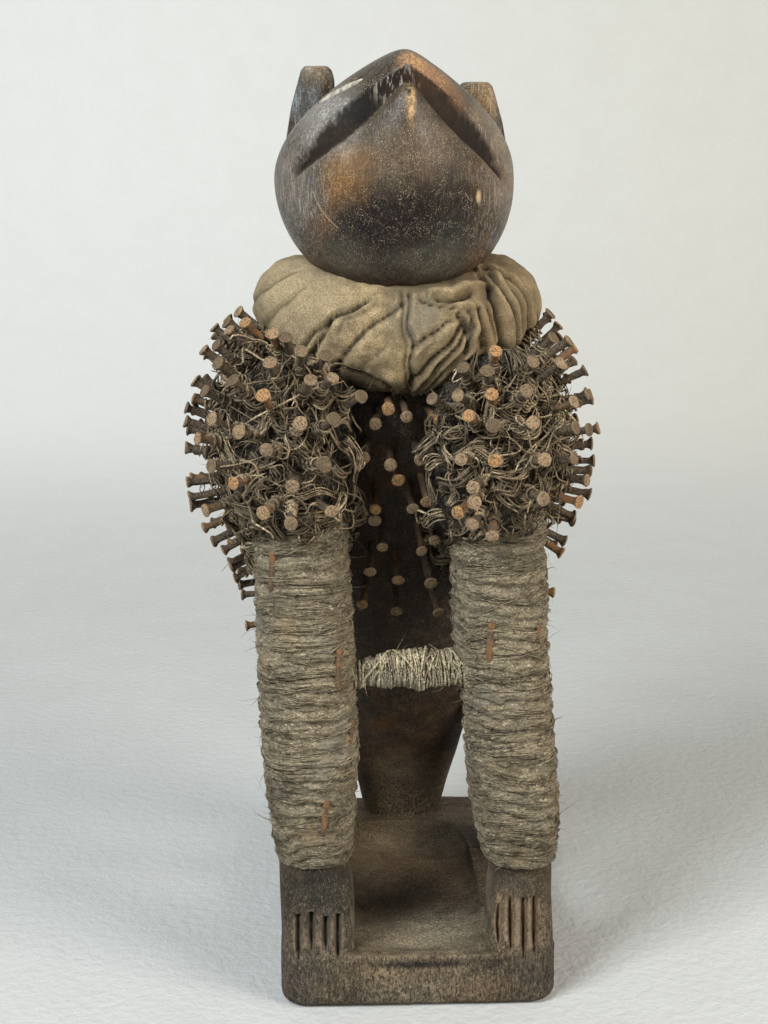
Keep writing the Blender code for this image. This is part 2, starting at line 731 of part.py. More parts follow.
def main():
    for obj in list(bpy.data.objects):
        bpy.data.objects.remove(obj)
    wood = material("dark_wood", (0.055, 0.035, 0.024), 0.45)
    twine = material("twine", (0.23, 0.19, 0.14), 0.95)
    cloth_finish = material("collar_cloth", (0.25, 0.20, 0.14), 0.9)
    rust = material("rusted_nails", (0.19, 0.11, 0.07), 0.85, 0.3)
    shell = material("pale_eye", (0.62, 0.58, 0.45), 0.3)

    parts = new_collection("power_figure")
    masses = new_collection("figure_masses")
    cutters = new_collection("figure_cutters")
    near_figure = new_collection("swollen_figure")
    near_pads = new_collection("swollen_neighbours")
    nail_masses = {side: new_collection(SIDE_NAMES[side] + "_nail_masses") for side in (LEFT, RIGHT)}

    figure = make_body(parts)
    figure.name = "carved_figure"
    make_base(masses, cutters)
    make_head(masses)
    for side in (LEFT, RIGHT):
        make_leg(side, masses)
        make_foot(side, masses)
        make_hind_leg(side, masses)
        make_ear(side, masses, cutters)
        cut_toes(side, cutters)
    cut_mouth(cutters)
    eyes = [make_eye(side, parts, cutters) for side in (LEFT, RIGHT)]
    chest_nails = make_chest_nails(parts, cutters)
    for mass in (figure, *masses.objects):
        if mass.name.startswith(("carved", "head", "foreleg")):
            swollen(mass, near_figure)
    boolean(figure, masses, "UNION")
    boolean(figure, cutters, "DIFFERENCE")
    settled(figure)

    cloth = make_cloth(parts)
    swollen(cloth, near_pads)
    boolean(cloth, near_figure, "DIFFERENCE")
    settled(cloth)

    bindings = {side: make_binding(side, parts) for side in (LEFT, RIGHT)}
    for binding in bindings.values():
        swollen(binding, near_pads)
        boolean(binding, near_figure, "DIFFERENCE")
        settled(binding)

    pads = {side: make_shoulder_pad(side, parts) for side in (LEFT, RIGHT)}
    for side, pad in pads.items():
        make_shoulder_nails(side, pad, nail_masses[side])
        boolean(pad, near_figure, "DIFFERENCE", "MANIFOLD")
        boolean(pad, near_pads, "DIFFERENCE", "MANIFOLD")
        settled(pad)
    tie = make_tie(parts)
    boolean(tie, near_pads, "DIFFERENCE")
    settled(tie)

    paint(figure, wood)
    paint(cloth, cloth_finish)
    for obj in (*bindings.values(), tie):
        paint(obj, twine)
    for obj in (*pads.values(), *chest_nails):
        paint(obj, rust)
    for obj in eyes:
        paint(obj, shell)
    hide_helpers(masses, cutters, near_figure, near_pads, *nail_masses.values())


main()
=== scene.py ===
"""Dressed model of a seated animal power figure: carved wood, bound twine, collar cloth, nails and fibre.

Lengths are in metres. X runs to the viewer's right, Y to the back and Z up, and left and right are the
viewer's. The CAD frame is loaded first, and every piece is made in its place there.
"""

import math

import bmesh
import bpy
import numpy as np
from bpy.props import FloatProperty, FloatVectorProperty, IntProperty, PointerProperty
from mathutils import Matrix, Vector


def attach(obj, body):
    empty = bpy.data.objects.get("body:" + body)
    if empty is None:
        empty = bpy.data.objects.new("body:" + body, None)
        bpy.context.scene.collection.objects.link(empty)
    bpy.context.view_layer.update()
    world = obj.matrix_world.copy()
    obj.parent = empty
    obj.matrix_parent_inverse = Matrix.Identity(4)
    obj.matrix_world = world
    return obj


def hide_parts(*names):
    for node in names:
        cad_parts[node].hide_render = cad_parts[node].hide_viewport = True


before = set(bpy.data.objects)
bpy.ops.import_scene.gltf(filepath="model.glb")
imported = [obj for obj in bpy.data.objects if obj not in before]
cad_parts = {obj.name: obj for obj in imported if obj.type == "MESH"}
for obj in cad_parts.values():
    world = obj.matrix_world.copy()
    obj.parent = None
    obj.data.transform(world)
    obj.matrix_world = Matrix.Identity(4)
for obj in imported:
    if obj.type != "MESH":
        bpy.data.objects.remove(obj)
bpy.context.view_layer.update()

bl_info = {
    "name": "Seated Power Figure",
    "version": (1, 0, 0),
    "blender": (4, 5, 0),
    "location": "3D View > Sidebar > Figure",
    "description": "Makes a nailed and bound seated animal figure in carved wood",
    "category": "Add Mesh",
}

LEFT = -1
RIGHT = 1
SIDE_NAMES = {LEFT: "left", RIGHT: "right"}
BODY = "root"
# A direction that no strand or shank runs along, from which their own across is measured
ODD_WAY = np.array([0.31, 0.17, 0.93])

# Sizes that the solids share, as the part's source gives them
BASE_WIDTH = 0.138
BASE_DEPTH = 0.205
BASE_HEIGHT = 0.028
BASE_CORNER = 0.014
DISH_BACK = 0.087
DISH_STATIONS = (
    (0.0300, 0.0375, 0.0850),
    (0.0262, 0.0350, 0.0800),
    (0.0236, 0.0290, 0.0700),
    (0.0224, 0.0190, 0.0500),
)
LEAN = -0.0105
LEAN_FROM = 0.030
LEAN_TO = 0.290
LEG_PATHS = {
    LEFT: ((0.020, -0.0515), (0.072, -0.0518), (0.125, -0.0533),
           (0.185, -0.0553), (0.240, -0.0568), (0.292, -0.0580)),
    RIGHT: ((0.020, 0.0530), (0.066, 0.0524), (0.103, 0.0484),
            (0.150, 0.0443), (0.185, 0.0402), (0.292, 0.0370)),
}
LEG_BACK = 0.026
LEG_TOP = 0.292
LEG_HALF = {LEFT: 0.0180, RIGHT: 0.0162}
FOOT_HALF_DEPTH = 0.021
FOOT_STATIONS = (
    (0.018, 1.0, 1.0, 4.5),
    (0.034, 1.0, 0.99, 4.5),
    (0.052, 0.98, 0.92, 3.8),
    (0.064, 0.90, 0.80, 2.8),
)
TOE_COUNT = 5
BINDING_HALVES = {
    LEFT: ((0.072, 0.0186), (0.088, 0.0205), (0.128, 0.0236),
           (0.182, 0.0235), (0.236, 0.0227), (0.249, 0.0221)),
    RIGHT: ((0.070, 0.0178), (0.084, 0.0206), (0.103, 0.0220),
            (0.150, 0.0219), (0.200, 0.0232), (0.249, 0.0221)),
}
BINDING_DEPTH = 1.06
TIE_HEIGHT = 0.1665
TIE_HALF_LOW = 0.0058
TIE_HALF_HIGH = 0.0086
HEAD_TILT = math.radians(32.5)
HEAD_TURN = math.radians(3.5)
HEAD_LENGTH = 0.122
SNOUT_ACROSS = 0.0042
SNOUT_BACK = 0.001
SNOUT_HEIGHT = 0.4460
HEAD_HALF_WIDTH = (0.0582, 0.078, 0.95)
HEAD_CROWN = (0.0372, 0.080, 0.38)
HEAD_JAW = (0.0645, 0.070, 0.76)
MOUTH_LENGTH = {LEFT: 0.0575, RIGHT: 0.0560}
MOUTH_SAG = {LEFT: 0.0, RIGHT: -0.0035}
MOUTH_OUTSIDE = 0.004
MOUTH_STATIONS = (
    # share of the length from the snout: (upper edge, lower edge, depth), edges along the crown
    (0.00, (0.0090, -0.0005, 0.0050)),
    (0.06, (0.0088, -0.0035, 0.0060)),
    (0.12, (0.0084, -0.0066, 0.0068)),
    (0.22, (0.0072, -0.0112, 0.0074)),
    (0.41, (0.0042, -0.0154, 0.0076)),
    (0.70, (-0.0040, -0.0172, 0.0066)),
    (0.88, (-0.0100, -0.0170, 0.0040)),
    (1.00, (-0.0145, -0.0160, 0.0008)),
)
EAR_OUT = {LEFT: 0.0395, RIGHT: 0.0420}
EAR_HEIGHT = {LEFT: 0.4350, RIGHT: 0.4275}
EAR_BACK = 0.087
EAR_HALF_THICK = 0.0048
EAR_PROFILE = (
    # height on the ear: (shift to the middle, half width)
    (-0.0260, (-0.0010, 0.0135)),
    (-0.0120, (-0.0005, 0.0128)),
    (0.0040, (0.0005, 0.0110)),
    (0.0170, (0.0022, 0.0090)),
    (0.0225, (0.0022, 0.0074)),
    (0.0235, (0.0020, 0.0056)),
)
EYE_HALF = Vector((0.0150, 0.0021, 0.0019))
EYE_ALONG = 0.0285
EYE_SUNK = {LEFT: 0.0016, RIGHT: 0.0026}
EYE_TURN = {LEFT: math.radians(61), RIGHT: math.radians(34)}
BODY_STATIONS = (
    # height: (back, half width, half depth)
    (0.018, (0.1880, 0.0215, 0.0130)),
    (0.045, (0.1850, 0.0262, 0.0165)),
    (0.078, (0.1750, 0.0345, 0.0260)),
    (0.115, (0.1580, 0.0430, 0.0360)),
    (0.155, (0.1380, 0.0500, 0.0420)),
    (0.200, (0.1160, 0.0540, 0.0470)),
    (0.240, (0.1000, 0.0560, 0.0500)),
    (0.275, (0.0860, 0.0580, 0.0500)),
    (0.305, (0.0770, 0.0500, 0.0430)),
    (0.328, (0.0720, 0.0360, 0.0330)),
    (0.350, (0.0710, 0.0295, 0.0280)),
    (0.375, (0.0740, 0.0260, 0.0250)),
)
BODY_POWER = 2.3
HIND_LEG = (
    (0.0300, 0.174, 0.114, 0.0220),
    (0.0460, 0.155, 0.116, 0.0195),
    (0.0570, 0.128, 0.100, 0.0155),
    (0.0575, 0.126, 0.066, 0.0115),
    (0.0565, 0.140, 0.040, 0.0100),
    (0.0555, 0.143, 0.020, 0.0110),
)
HIND_FOOT_HALF = Vector((0.0115, 0.0210, 0.0085))
SHOULDER_STATIONS = (
    # height: (out from the middle, back, half width, half depth)
    (0.197, (0.0450, 0.096, 0.0130, 0.0180)),
    (0.203, (0.0460, 0.094, 0.0160, 0.0240)),
    (0.226, (0.0465, 0.082, 0.0225, 0.0400)),
    (0.241, (0.0480, 0.058, 0.0270, 0.0560)),
    (0.254, (0.0490, 0.050, 0.0295, 0.0560)),
    (0.284, (0.0500, 0.046, 0.0305, 0.0530)),
    (0.306, (0.0495, 0.047, 0.0275, 0.0450)),
    (0.321, (0.0480, 0.049, 0.0205, 0.0340)),
    (0.330, (0.0470, 0.050, 0.0090, 0.0160)),
)
SHOULDER_SHIFT = {LEFT: 0.0, RIGHT: -0.0050}
NECK_BACK = 0.071
CLOTH_LOW_FRONT = 0.304
CLOTH_TOP = 0.368
CLOTH_HALF_WIDTH = 0.0690
CLOTH_KNOT = 0.0045
CLOTH_INNER = 0.020
NAIL_OUT = 0.0235
CHEST_NAIL_OUT = 0.021
FLANK_NAIL_OUT = 0.034

# Where the shoulder nails stand: height in millimetres, and degrees round the pad from its front.
# The long lists are those whose heads are seen from the front.
SEEN_NAILS = {
    LEFT: (
        (314, -6), (312, -20), (304, -22), (304, -8), (320, 2), (320, 14), (325, 42), (321, 52), (310, 12),
        (302, 28), (298, 12), (296, -36), (290, -4), (290, -20), (288, 22), (288, 40), (282, 10), (274, -16),
        (276, -12), (270, -2), (270, 26), (260, 12), (258, 0), (260, -16), (258, 48), (274, 40), (282, 54),
        (298, 50), (308, 46), (314, 58), (311, 76), (290, 106), (296, 108), (296, 95), (286, 90), (284, 78),
        (274, 82), (260, 98), (256, 82), (250, 86), (240, 98), (234, 84), (226, 94), (319, 92), (322, 66),
        (328, 72), (260, 90), (278, 100), (284, 108), (216, 100), (206, 104), (208, 112), (214, 126),
    ),
    RIGHT: (
        (324, 88), (318, 100), (316, 62), (318, 44), (310, 86), (314, 0), (306, -4), (310, 16), (300, 14),
        (298, -4), (306, -18), (300, -20), (294, -34), (292, -16), (288, -4), (288, 14), (286, 40), (284, 52),
        (282, 72), (308, 42), (304, 104), (302, 94), (296, 60), (294, 78), (290, 88), (294, 44), (280, 114),
        (274, 90), (270, 76), (274, 40), (264, 90), (276, 20), (266, 52), (256, 88), (260, 46), (246, 94),
        (242, 96), (234, 84), (232, 72), (264, 20), (278, -20), (278, -2), (270, -10), (260, -18), (254, -10),
        (254, -2), (264, -10), (206, 100), (214, 104), (228, 92),
    ),
}
# Across from the body's middle and height, in millimetres
CHEST_NAILS = (
    (-15, 304), (-4, 302), (-9, 296), (3, 300), (-14, 280), (-3, 276), (-1, 272), (-10, 258),
    (-10, 252), (6, 258), (-7, 238), (-13, 224), (-1, 220), (-16, 204), (-2, 202), (16, 200),
    (13, 218), (10, 236), (15, 240), (12, 262), (9, 278), (15, 296), (21, 280), (17, 270),
)
BOUND_NAILS = {
    LEFT: ((-124, 0.213, 0.233), (-52, 0.164, 0.184), (-32, 0.135, 0.147), (-76, 0.090, 0.109)),
    RIGHT: ((-105, 0.177, 0.198), (-47, 0.188, 0.196), (-117, 0.240, 0.252)),
}
FLANK_NAILS = {
    LEFT: ((0.166, -0.004), (0.181, 0.006), (0.194, -0.008), (0.204, 0.014)),
    RIGHT: ((0.184, -0.002), (0.197, 0.008), (0.205, 0.020)),
}
CHEST_NAIL_NODES = [f"chest_nail_{number:02d}" for number in range(1, 15)]


# Sizes and colours that a user would change

def colour_property(name, description, default):
    return FloatVectorProperty(name=name, description=description, default=default, subtype="COLOR",
                               min=0, max=1)


class FigureWood(bpy.types.PropertyGroup):
    """The carved wood."""
    voxel: FloatProperty(
        name="Carving size", description="Smallest form that the carving keeps",
        default=0.0009, min=0.0007, unit="LENGTH")
    faces: IntProperty(name="Faces", description="Triangles kept in the carving", default=180000)
    colour: colour_property("Wood", "Colour of the bare dark wood", (0.026, 0.019, 0.014))
    worn: colour_property("Worn wood", "Colour where handling has worn the wood warm", (0.360, 0.160, 0.052))
    dust: colour_property("Dust", "Colour of the dust that has settled on it", (0.200, 0.160, 0.105))


class FigureTwine(bpy.types.PropertyGroup):
    """The twine round the forelegs."""
    strand: FloatProperty(
        name="Strand", description="Half the thickness of one strand",
        default=0.00036, unit="LENGTH")
    clumps: IntProperty(name="Clumps", description="Clumps of strands round one leg", default=84)
    crossing: IntProperty(name="Crossing strands", description="Loose strands across the others", default=170)
    frays: IntProperty(name="Frays", description="Short ends that stand off the twine", default=150)
    colour: colour_property("Twine", "Colour of the twine", (0.320, 0.268, 0.178))


class FigureCloth(bpy.types.PropertyGroup):
    """The cloth round the neck."""
    colour: colour_property("Cloth", "Colour of the soiled cloth", (0.330, 0.250, 0.140))


class FigureNails(bpy.types.PropertyGroup):
    """The nails and the fibre between them."""
    head: FloatProperty(name="Head", description="Half the width of a head", default=0.0032, unit="LENGTH")
    shank: FloatProperty(name="Shank", description="Half the thickness of a shank",
                         default=0.0018, unit="LENGTH")
    hidden: IntProperty(name="Nails behind", description="Nails on the back of each pad", default=46)
    rust: colour_property("Rust", "Colour of the rusted iron", (0.250, 0.172, 0.100))
    fibre: colour_property("Fibre", "Colour of the loose fibre", (0.500, 0.390, 0.248))


class FigureStage(bpy.types.PropertyGroup):
    """Floor, backdrop and light."""
    wall: colour_property("Wall", "Colour of the wall", (0.800, 0.820, 0.800))
    floor: colour_property("Floor", "Colour of the floor", (0.440, 0.450, 0.445))
    # Painted shadow: the right of the wall glows darker and warmer
    warm: colour_property("Warm side", "Colour of the right of the wall", (0.600, 0.555, 0.450))
    key: FloatProperty(name="Key light", description="Strength of the main light", default=49.0, unit="POWER")
    fill: FloatProperty(name="Fill light", description="Strength of the fill light", default=29.0, unit="POWER")
    sky: FloatProperty(name="Sky", description="Strength of the soft light from above", default=0.40)


# Making meshes

def back(distance):
    """The Y of a point this far behind the base's front edge."""
    return distance - BASE_DEPTH / 2


def mix(low, high, share):
    return low + (high - low) * share


def smooth(share):
    share = np.clip(share, 0.0, 1.0)
    return share * share * (3 - 2 * share)


def soft_ends(steps):
    """Rises from 0 at the first step to 1, and falls back to 0 at the last."""
    return smooth(np.minimum(np.linspace(0, 1, steps), np.linspace(1, 0, steps)) / 0.1)


def lean(height):
    return LEAN * float(smooth((height - LEAN_FROM) / (LEAN_TO - LEAN_FROM)))


def between(stations, at):
    """Reads a list of (position, values) at a position, in straight stretches."""
    places = [place for place, _ in stations]
    columns = zip(*(values for _, values in stations))
    return [float(np.interp(at, places, column)) for column in columns]


def wobble(points, size, seed=0):
    """Smooth noise from -1 to 1 at each point, with lumps about as large as size."""
    at = np.asarray(points, float) / size + 53.7 * (seed + 1)
    cell = np.floor(at).astype(np.int64)
    part = at - cell
    part = part * part * (3 - 2 * part)
    total = np.zeros(at.shape[:-1])
    for corner in range(8):
        step = np.array([corner & 1, corner >> 1 & 1, corner >> 2 & 1])
        key = ((cell + step) * np.array([73856093, 19349663, 83492791])).astype(np.uint64)
        mixed = key[..., 0] ^ key[..., 1] ^ key[..., 2]
        mixed = (mixed ^ (mixed >> np.uint64(15))) * np.uint64(2246822519) & np.uint64(0xFFFFFFFF)
        mixed = (mixed ^ (mixed >> np.uint64(13))) * np.uint64(3266489917) & np.uint64(0xFFFFFFFF)
        value = (mixed ^ (mixed >> np.uint64(16))).astype(float) / 2147483648.0 - 1
        total += value * np.prod(np.where(step, part, 1 - part), axis=-1)
    return total


def lumps(points, size, seed=0):
    """Noise of three sizes, each half the last."""
    return (wobble(points, size, seed) + 0.5 * wobble(points, size / 2.1, seed + 5)
            + 0.25 * wobble(points, size / 4.3, seed + 9)) / 1.75


def unit(vectors):
    return vectors / np.maximum(np.linalg.norm(vectors, axis=-1, keepdims=True), 1e-12)


def new_object(name, mesh):
    made = bpy.data.objects.new(name, mesh)
    bpy.context.scene.collection.objects.link(made)
    return made


def mesh_object(name, points, *face_sets):
    """An object from points, and lists or arrays of faces."""
    faces = [face for faces in face_sets for face in (faces.tolist() if hasattr(faces, "tolist") else faces)]
    mesh = bpy.data.meshes.new(name)
    mesh.from_pydata(np.asarray(points).tolist(), [], faces)
    mesh.update()
    mesh.shade_smooth()
    return new_object(name, mesh)


def coordinates(mesh):
    values = np.zeros(len(mesh.vertices) * 3)
    mesh.vertices.foreach_get("co", values)
    return values.reshape(-1, 3)


def set_coordinates(mesh, points):
    mesh.vertices.foreach_set("co", np.asarray(points, float).ravel())
    mesh.update()


def normals(mesh):
    values = np.zeros(len(mesh.vertices) * 3, np.float32)
    mesh.vertices.foreach_get("normal", values)
    return values.reshape(-1, 3).astype(float)


def settled(obj):
    """Gives the object the mesh that its modifiers make, and drops them."""
    graph = bpy.context.evaluated_depsgraph_get()
    graph.update()
    mesh = bpy.data.meshes.new_from_object(obj.evaluated_get(graph))
    obj.modifiers.clear()
    old = obj.data
    obj.data = mesh
    bpy.data.meshes.remove(old)
    return obj


def mark(obj, name, values):
    """Keeps a number for each point of a mesh, for its material to read."""
    kept = obj.data.attributes.new(name, "FLOAT", "POINT")
    kept.data.foreach_set("value", np.asarray(values, np.float32).ravel())


def joined(name, objects):
    """One object from several, with their meshes side by side."""
    points, faces, count = [], [], 0
    for obj in objects:
        places = coordinates(obj.data)
        points.append(places)
        faces += [[count + corner for corner in face.vertices] for face in obj.data.polygons]
        count += len(places)
        bpy.data.objects.remove(obj)
    return mesh_object(name, np.concatenate(points), faces)


def ring(centre, half_x, half_y, count, power=2.0):
    """A level ring of points, round at power 2 and squarer above it."""
    turn = np.arange(count) * math.tau / count
    across = np.sign(np.cos(turn)) * np.abs(np.cos(turn)) ** (2 / power)
    along = np.sign(np.sin(turn)) * np.abs(np.sin(turn)) ** (2 / power)
    level = np.stack([half_x * across, half_y * along, np.zeros(count)], axis=-1)
    return np.asarray(centre, float) + level


def grid_faces(rows, columns, around=True, start=0, loop=False):
    """Four-cornered faces between rows of points."""
    index = start + np.arange(rows * columns).reshape(rows, columns)
    if loop:
        index = np.concatenate([index, index[:1]])
    low, high = index[:-1], index[1:]
    if around:
        quads = [low, np.roll(low, -1, 1), np.roll(high, -1, 1), high]
    else:
        quads = [low[:, :-1], low[:, 1:], high[:, 1:], high[:, :-1]]
    return np.stack(quads, axis=-1).reshape(-1, 4)


def loft(name, rings, loop=False):
    """A solid through rings of equally many points, capped unless the rings close on themselves."""
    rings = np.asarray(rings, float)
    rows, columns = rings.shape[:2]
    faces = grid_faces(rows, columns, loop=loop).tolist()
    if not loop:
        faces.append(list(range(columns))[::-1])
        faces.append(list(range((rows - 1) * columns, rows * columns)))
    made = mesh_object(name, rings.reshape(-1, 3), faces)
    turn_out(made.data)
    return made


def turn_out(mesh):
    """Turns a closed mesh's faces outward."""
    work = bmesh.new()
    work.from_mesh(mesh)
    bmesh.ops.recalc_face_normals(work, faces=work.faces)
    if work.calc_volume(signed=True) < 0:
        bmesh.ops.reverse_faces(work, faces=work.faces)
    work.to_mesh(mesh)
    work.free()


def ellipsoid(name, centre, half, turn=None, segments=32, rows=16):
    work = bmesh.new()
    bmesh.ops.create_uvsphere(work, u_segments=segments, v_segments=rows, radius=1.0)
    turn = turn or Matrix.Identity(3)
    work.transform(Matrix.Translation(centre) @ turn.to_4x4() @ Matrix.Diagonal((*half, 1.0)))
    mesh = bpy.data.meshes.new(name)
    work.to_mesh(mesh)
    work.free()
    mesh.shade_smooth()
    return new_object(name, mesh)


def cut(target, cutters, operation="DIFFERENCE"):
    """Cuts a mass by others and drops them."""
    for cutter in cutters:
        modifier = target.modifiers.new("Cut", "BOOLEAN")
        modifier.operation = operation
        modifier.solver = "EXACT"
        modifier.object = cutter
    settled(target)
    for cutter in cutters:
        bpy.data.objects.remove(cutter)
    return target


def strands(name, paths, radii, tones=None, sides=3):
    """Thin strands, each a row of points with its own radii and its own tone from dark to pale."""
    paths = np.asarray(paths, float)
    count, steps = paths.shape[:2]
    radii = np.broadcast_to(np.asarray(radii, float), (count, steps))
    ahead = unit(np.gradient(paths, axis=1))
    across = unit(np.cross(ahead, ODD_WAY))
    up = np.cross(across, ahead)
    turn = np.arange(sides) * math.tau / sides
    spread = across[:, :, None] * np.cos(turn)[:, None] + up[:, :, None] * np.sin(turn)[:, None]
    points = paths[:, :, None] + spread * radii[:, :, None, None]
    index = np.arange(count * steps * sides).reshape(count, steps, sides)
    low, high = index[:, :-1], index[:, 1:]
    quads = np.stack([low, np.roll(low, -1, 2), np.roll(high, -1, 2), high], axis=-1).reshape(-1, 4)
    made = mesh_object(name, points.reshape(-1, 3), quads, index[:, 0, ::-1], index[:, -1])
    if tones is not None:
        mark(made, "tone", np.repeat(np.asarray(tones, float), steps * sides))
    return made


# The wood

def leg_centre(side, height):
    places, across = zip(*LEG_PATHS[side])
    return np.array([float(np.interp(height, places, across)), back(LEG_BACK), height])


def leg_half(side, height):
    return LEG_HALF[side] * mix(0.96, 1.08, float(smooth(height / LEG_TOP)))


def foot_centre(side):
    return np.array([side * (BASE_WIDTH / 2 - LEG_HALF[side] - 0.0012), back(FOOT_HALF_DEPTH + 0.0005), 0])


def body_section(height):
    """Centre, half width and half depth of the body at a height."""
    where, half_x, half_y = between(BODY_STATIONS, height)
    return Vector((lean(height), back(where), height)), half_x, half_y


def body_front(across, height):
    """The point of the body's front surface that lies this far across from its middle."""
    centre, half_x, half_y = body_section(height)
    share = max(0.0, 1 - abs(across / half_x) ** BODY_POWER) ** (1 / BODY_POWER)
    return centre + Vector((across, -half_y * share, 0))


def head_frame():
    """The snout, and the head's own side, muzzle and crown directions."""
    turn = Matrix.Rotation(HEAD_TURN, 3, "Z")
    side = turn @ Vector((1, 0, 0))
    muzzle = turn @ Vector((0, -math.cos(HEAD_TILT), math.sin(HEAD_TILT)))
    crown = turn @ Vector((0, math.sin(HEAD_TILT), math.cos(HEAD_TILT)))
    return Vector((LEAN + SNOUT_ACROSS, back(SNOUT_BACK), SNOUT_HEIGHT)), side, muzzle, crown


def swell(along, profile):
    """Rises from nothing at the snout to the profile's size, and rounds off at the back of the head."""
    size, widest, power = profile
    along = np.clip(along, 0, HEAD_LENGTH)
    rise = np.sin(math.pi / 2 * (np.minimum(along, widest) / widest) ** power)
    share = np.maximum(along - widest, 0) / (HEAD_LENGTH - widest)
    return size * np.where(along <= widest, rise, np.sqrt(1 - share * share))


def head_point(along, angle):
    """A point of the head's surface: angle 0 is the right side and a quarter turn the crown."""
    snout, side, muzzle, crown = head_frame()
    wide = swell(along, HEAD_HALF_WIDTH)
    up = math.sin(angle) * swell(along, HEAD_CROWN if math.sin(angle) > 0 else HEAD_JAW)
    return snout - muzzle * along + side * (wide * math.cos(angle)) + crown * up


def mouth_angle(along, height):
    """The angle on the head's surface of a point that stands this high along the crown."""
    reach = float(swell(along, HEAD_CROWN if height > 0 else HEAD_JAW))
    return math.asin(max(-0.97, min(0.97, height / reach)))


def make_mouth_cutter():
    """A wedge-shaped notch under the upper lip, from one corner of the mouth round the snout to the other."""
    snout, _, muzzle, crown = head_frame()
    pivot = snout - muzzle * (MOUTH_LENGTH[LEFT] * 1.1)
    shares = (1.03, 1.0, 0.96, 0.9, 0.82, 0.72, 0.62, 0.52, 0.42, 0.33, 0.25, 0.18, 0.12, 0.07, 0.03)
    rings = []
    for hand, share in [(LEFT, s) for s in shares] + [(RIGHT, s) for s in reversed(shares)]:
        along = MOUTH_LENGTH[hand] * share
        top, bottom, depth = between(MOUTH_STATIONS, share)
        top, bottom = (edge + MOUTH_SAG[hand] * share for edge in (top, bottom))
        middle = (top + bottom) / 2
        angle = mouth_angle(along, middle)
        lip = head_point(along, angle if hand == RIGHT else math.pi - angle)
        outward = lip - pivot
        outward = (outward - crown * outward.dot(crown)).normalized()
        bed = min(bottom + depth, mix(bottom, top, 0.6))
        steep = MOUTH_OUTSIDE / max(depth, 0.0015)
        outer = lip + outward * MOUTH_OUTSIDE - crown * middle
        inner = lip - outward * depth - crown * middle
        rings.append([outer + crown * (top + (top - bed) * steep),
                      outer + crown * (bottom - (bed - bottom) * steep),
                      inner + crown * (bed - 0.0003), inner + crown * (bed + 0.0004)])
    return loft("mouth_cut", rings)


def eye_place(side):
    """Centre of an eye on the head, and the turn that lays it along the muzzle."""
    _, across, _, crown = head_frame()
    angle = math.pi / 2 - side * EYE_TURN[side]
    centre = head_point(EYE_ALONG, angle)
    ahead = (head_point(EYE_ALONG - 0.004, angle) - head_point(EYE_ALONG + 0.004, angle)).normalized()
    beside = head_point(EYE_ALONG, angle + 0.1) - head_point(EYE_ALONG, angle - 0.1)
    outward = ahead.cross(beside).normalized()
    if outward.dot(crown + side * across) < 0:
        outward = -outward
    third = outward.cross(ahead).normalized()
    return centre - outward * EYE_SUNK[side], Matrix((ahead, third, outward)).transposed()


def make_base_mass():
    work = bmesh.new()
    bmesh.ops.create_cube(work, size=1.0)
    work.transform(Matrix.Diagonal((BASE_WIDTH, BASE_DEPTH, BASE_HEIGHT, 1.0)))
    work.transform(Matrix.Translation((0, 0, BASE_HEIGHT / 2)))
    uprights = [e for e in work.edges if abs(e.verts[0].co.z - e.verts[1].co.z) > 0.001]
    bmesh.ops.bevel(work, geom=uprights, offset=BASE_CORNER, segments=8, profile=0.5, affect="EDGES")
    under = [e for e in work.edges if max(v.co.z for v in e.verts) < 0.001]
    bmesh.ops.bevel(work, geom=under, offset=0.005, segments=4, profile=0.5, affect="EDGES")
    mesh = bpy.data.meshes.new("base_mass")
    work.to_mesh(mesh)
    work.free()
    base = new_object("base_mass", mesh)
    rings = [ring((0, back(DISH_BACK), height), half_x, half_y, 64, 4.5)
             for height, half_x, half_y in reversed(DISH_STATIONS)]
    return cut(base, [loft("dish_cut", rings)])


def toe_grooves(points):
    """How deep the grooves between the toes cut in at each point."""
    deepest = np.zeros(len(points))
    for side in (LEFT, RIGHT):
        centre = foot_centre(side)[0]
        pitch = 2 * LEG_HALF[side] * 0.92 / TOE_COUNT
        fewer = 2 if side == LEFT else 1
        for number in range(TOE_COUNT if side == LEFT else TOE_COUNT - 1):
            step = number - (TOE_COUNT - fewer) / 2 + 0.15 * math.sin(number * 3.3)
            across = centre + step * pitch
            top = BASE_HEIGHT + (0.0215 if side == LEFT else 0.0290) + 0.0012 * math.sin(number * 2.1)
            bottom = BASE_HEIGHT - 0.0010 + 0.0034 * math.sin(number * 1.7 + side)
            share = np.clip((points[:, 2] - bottom) / (top - bottom), 0, 1)
            wide = 0.0019 * (0.25 + 0.75 * smooth(share / 0.45))
            profile = np.clip(1.25 - 1.25 * np.abs(points[:, 0] - across) / wide, 0, 1)
            ends = smooth((points[:, 2] - bottom) / 0.004) * smooth((top - points[:, 2]) / 0.0016)
            deepest = np.maximum(deepest, profile * ends)
    return deepest * smooth((back(0.0070) - points[:, 1]) / 0.003)


def make_foot_mass(side):
    centre = foot_centre(side)
    half = LEG_HALF[side]
    rings = []
    for height in np.linspace(0.018, 0.064, 12):
        wide, deep, power = between([(s[0], s[1:]) for s in FOOT_STATIONS], height)
        shift = np.array([0, FOOT_HALF_DEPTH * (1 - deep), height])
        rings.append(ring(centre + shift, half * wide, FOOT_HALF_DEPTH * deep, 64, power))
    return loft("foot_mass", rings)


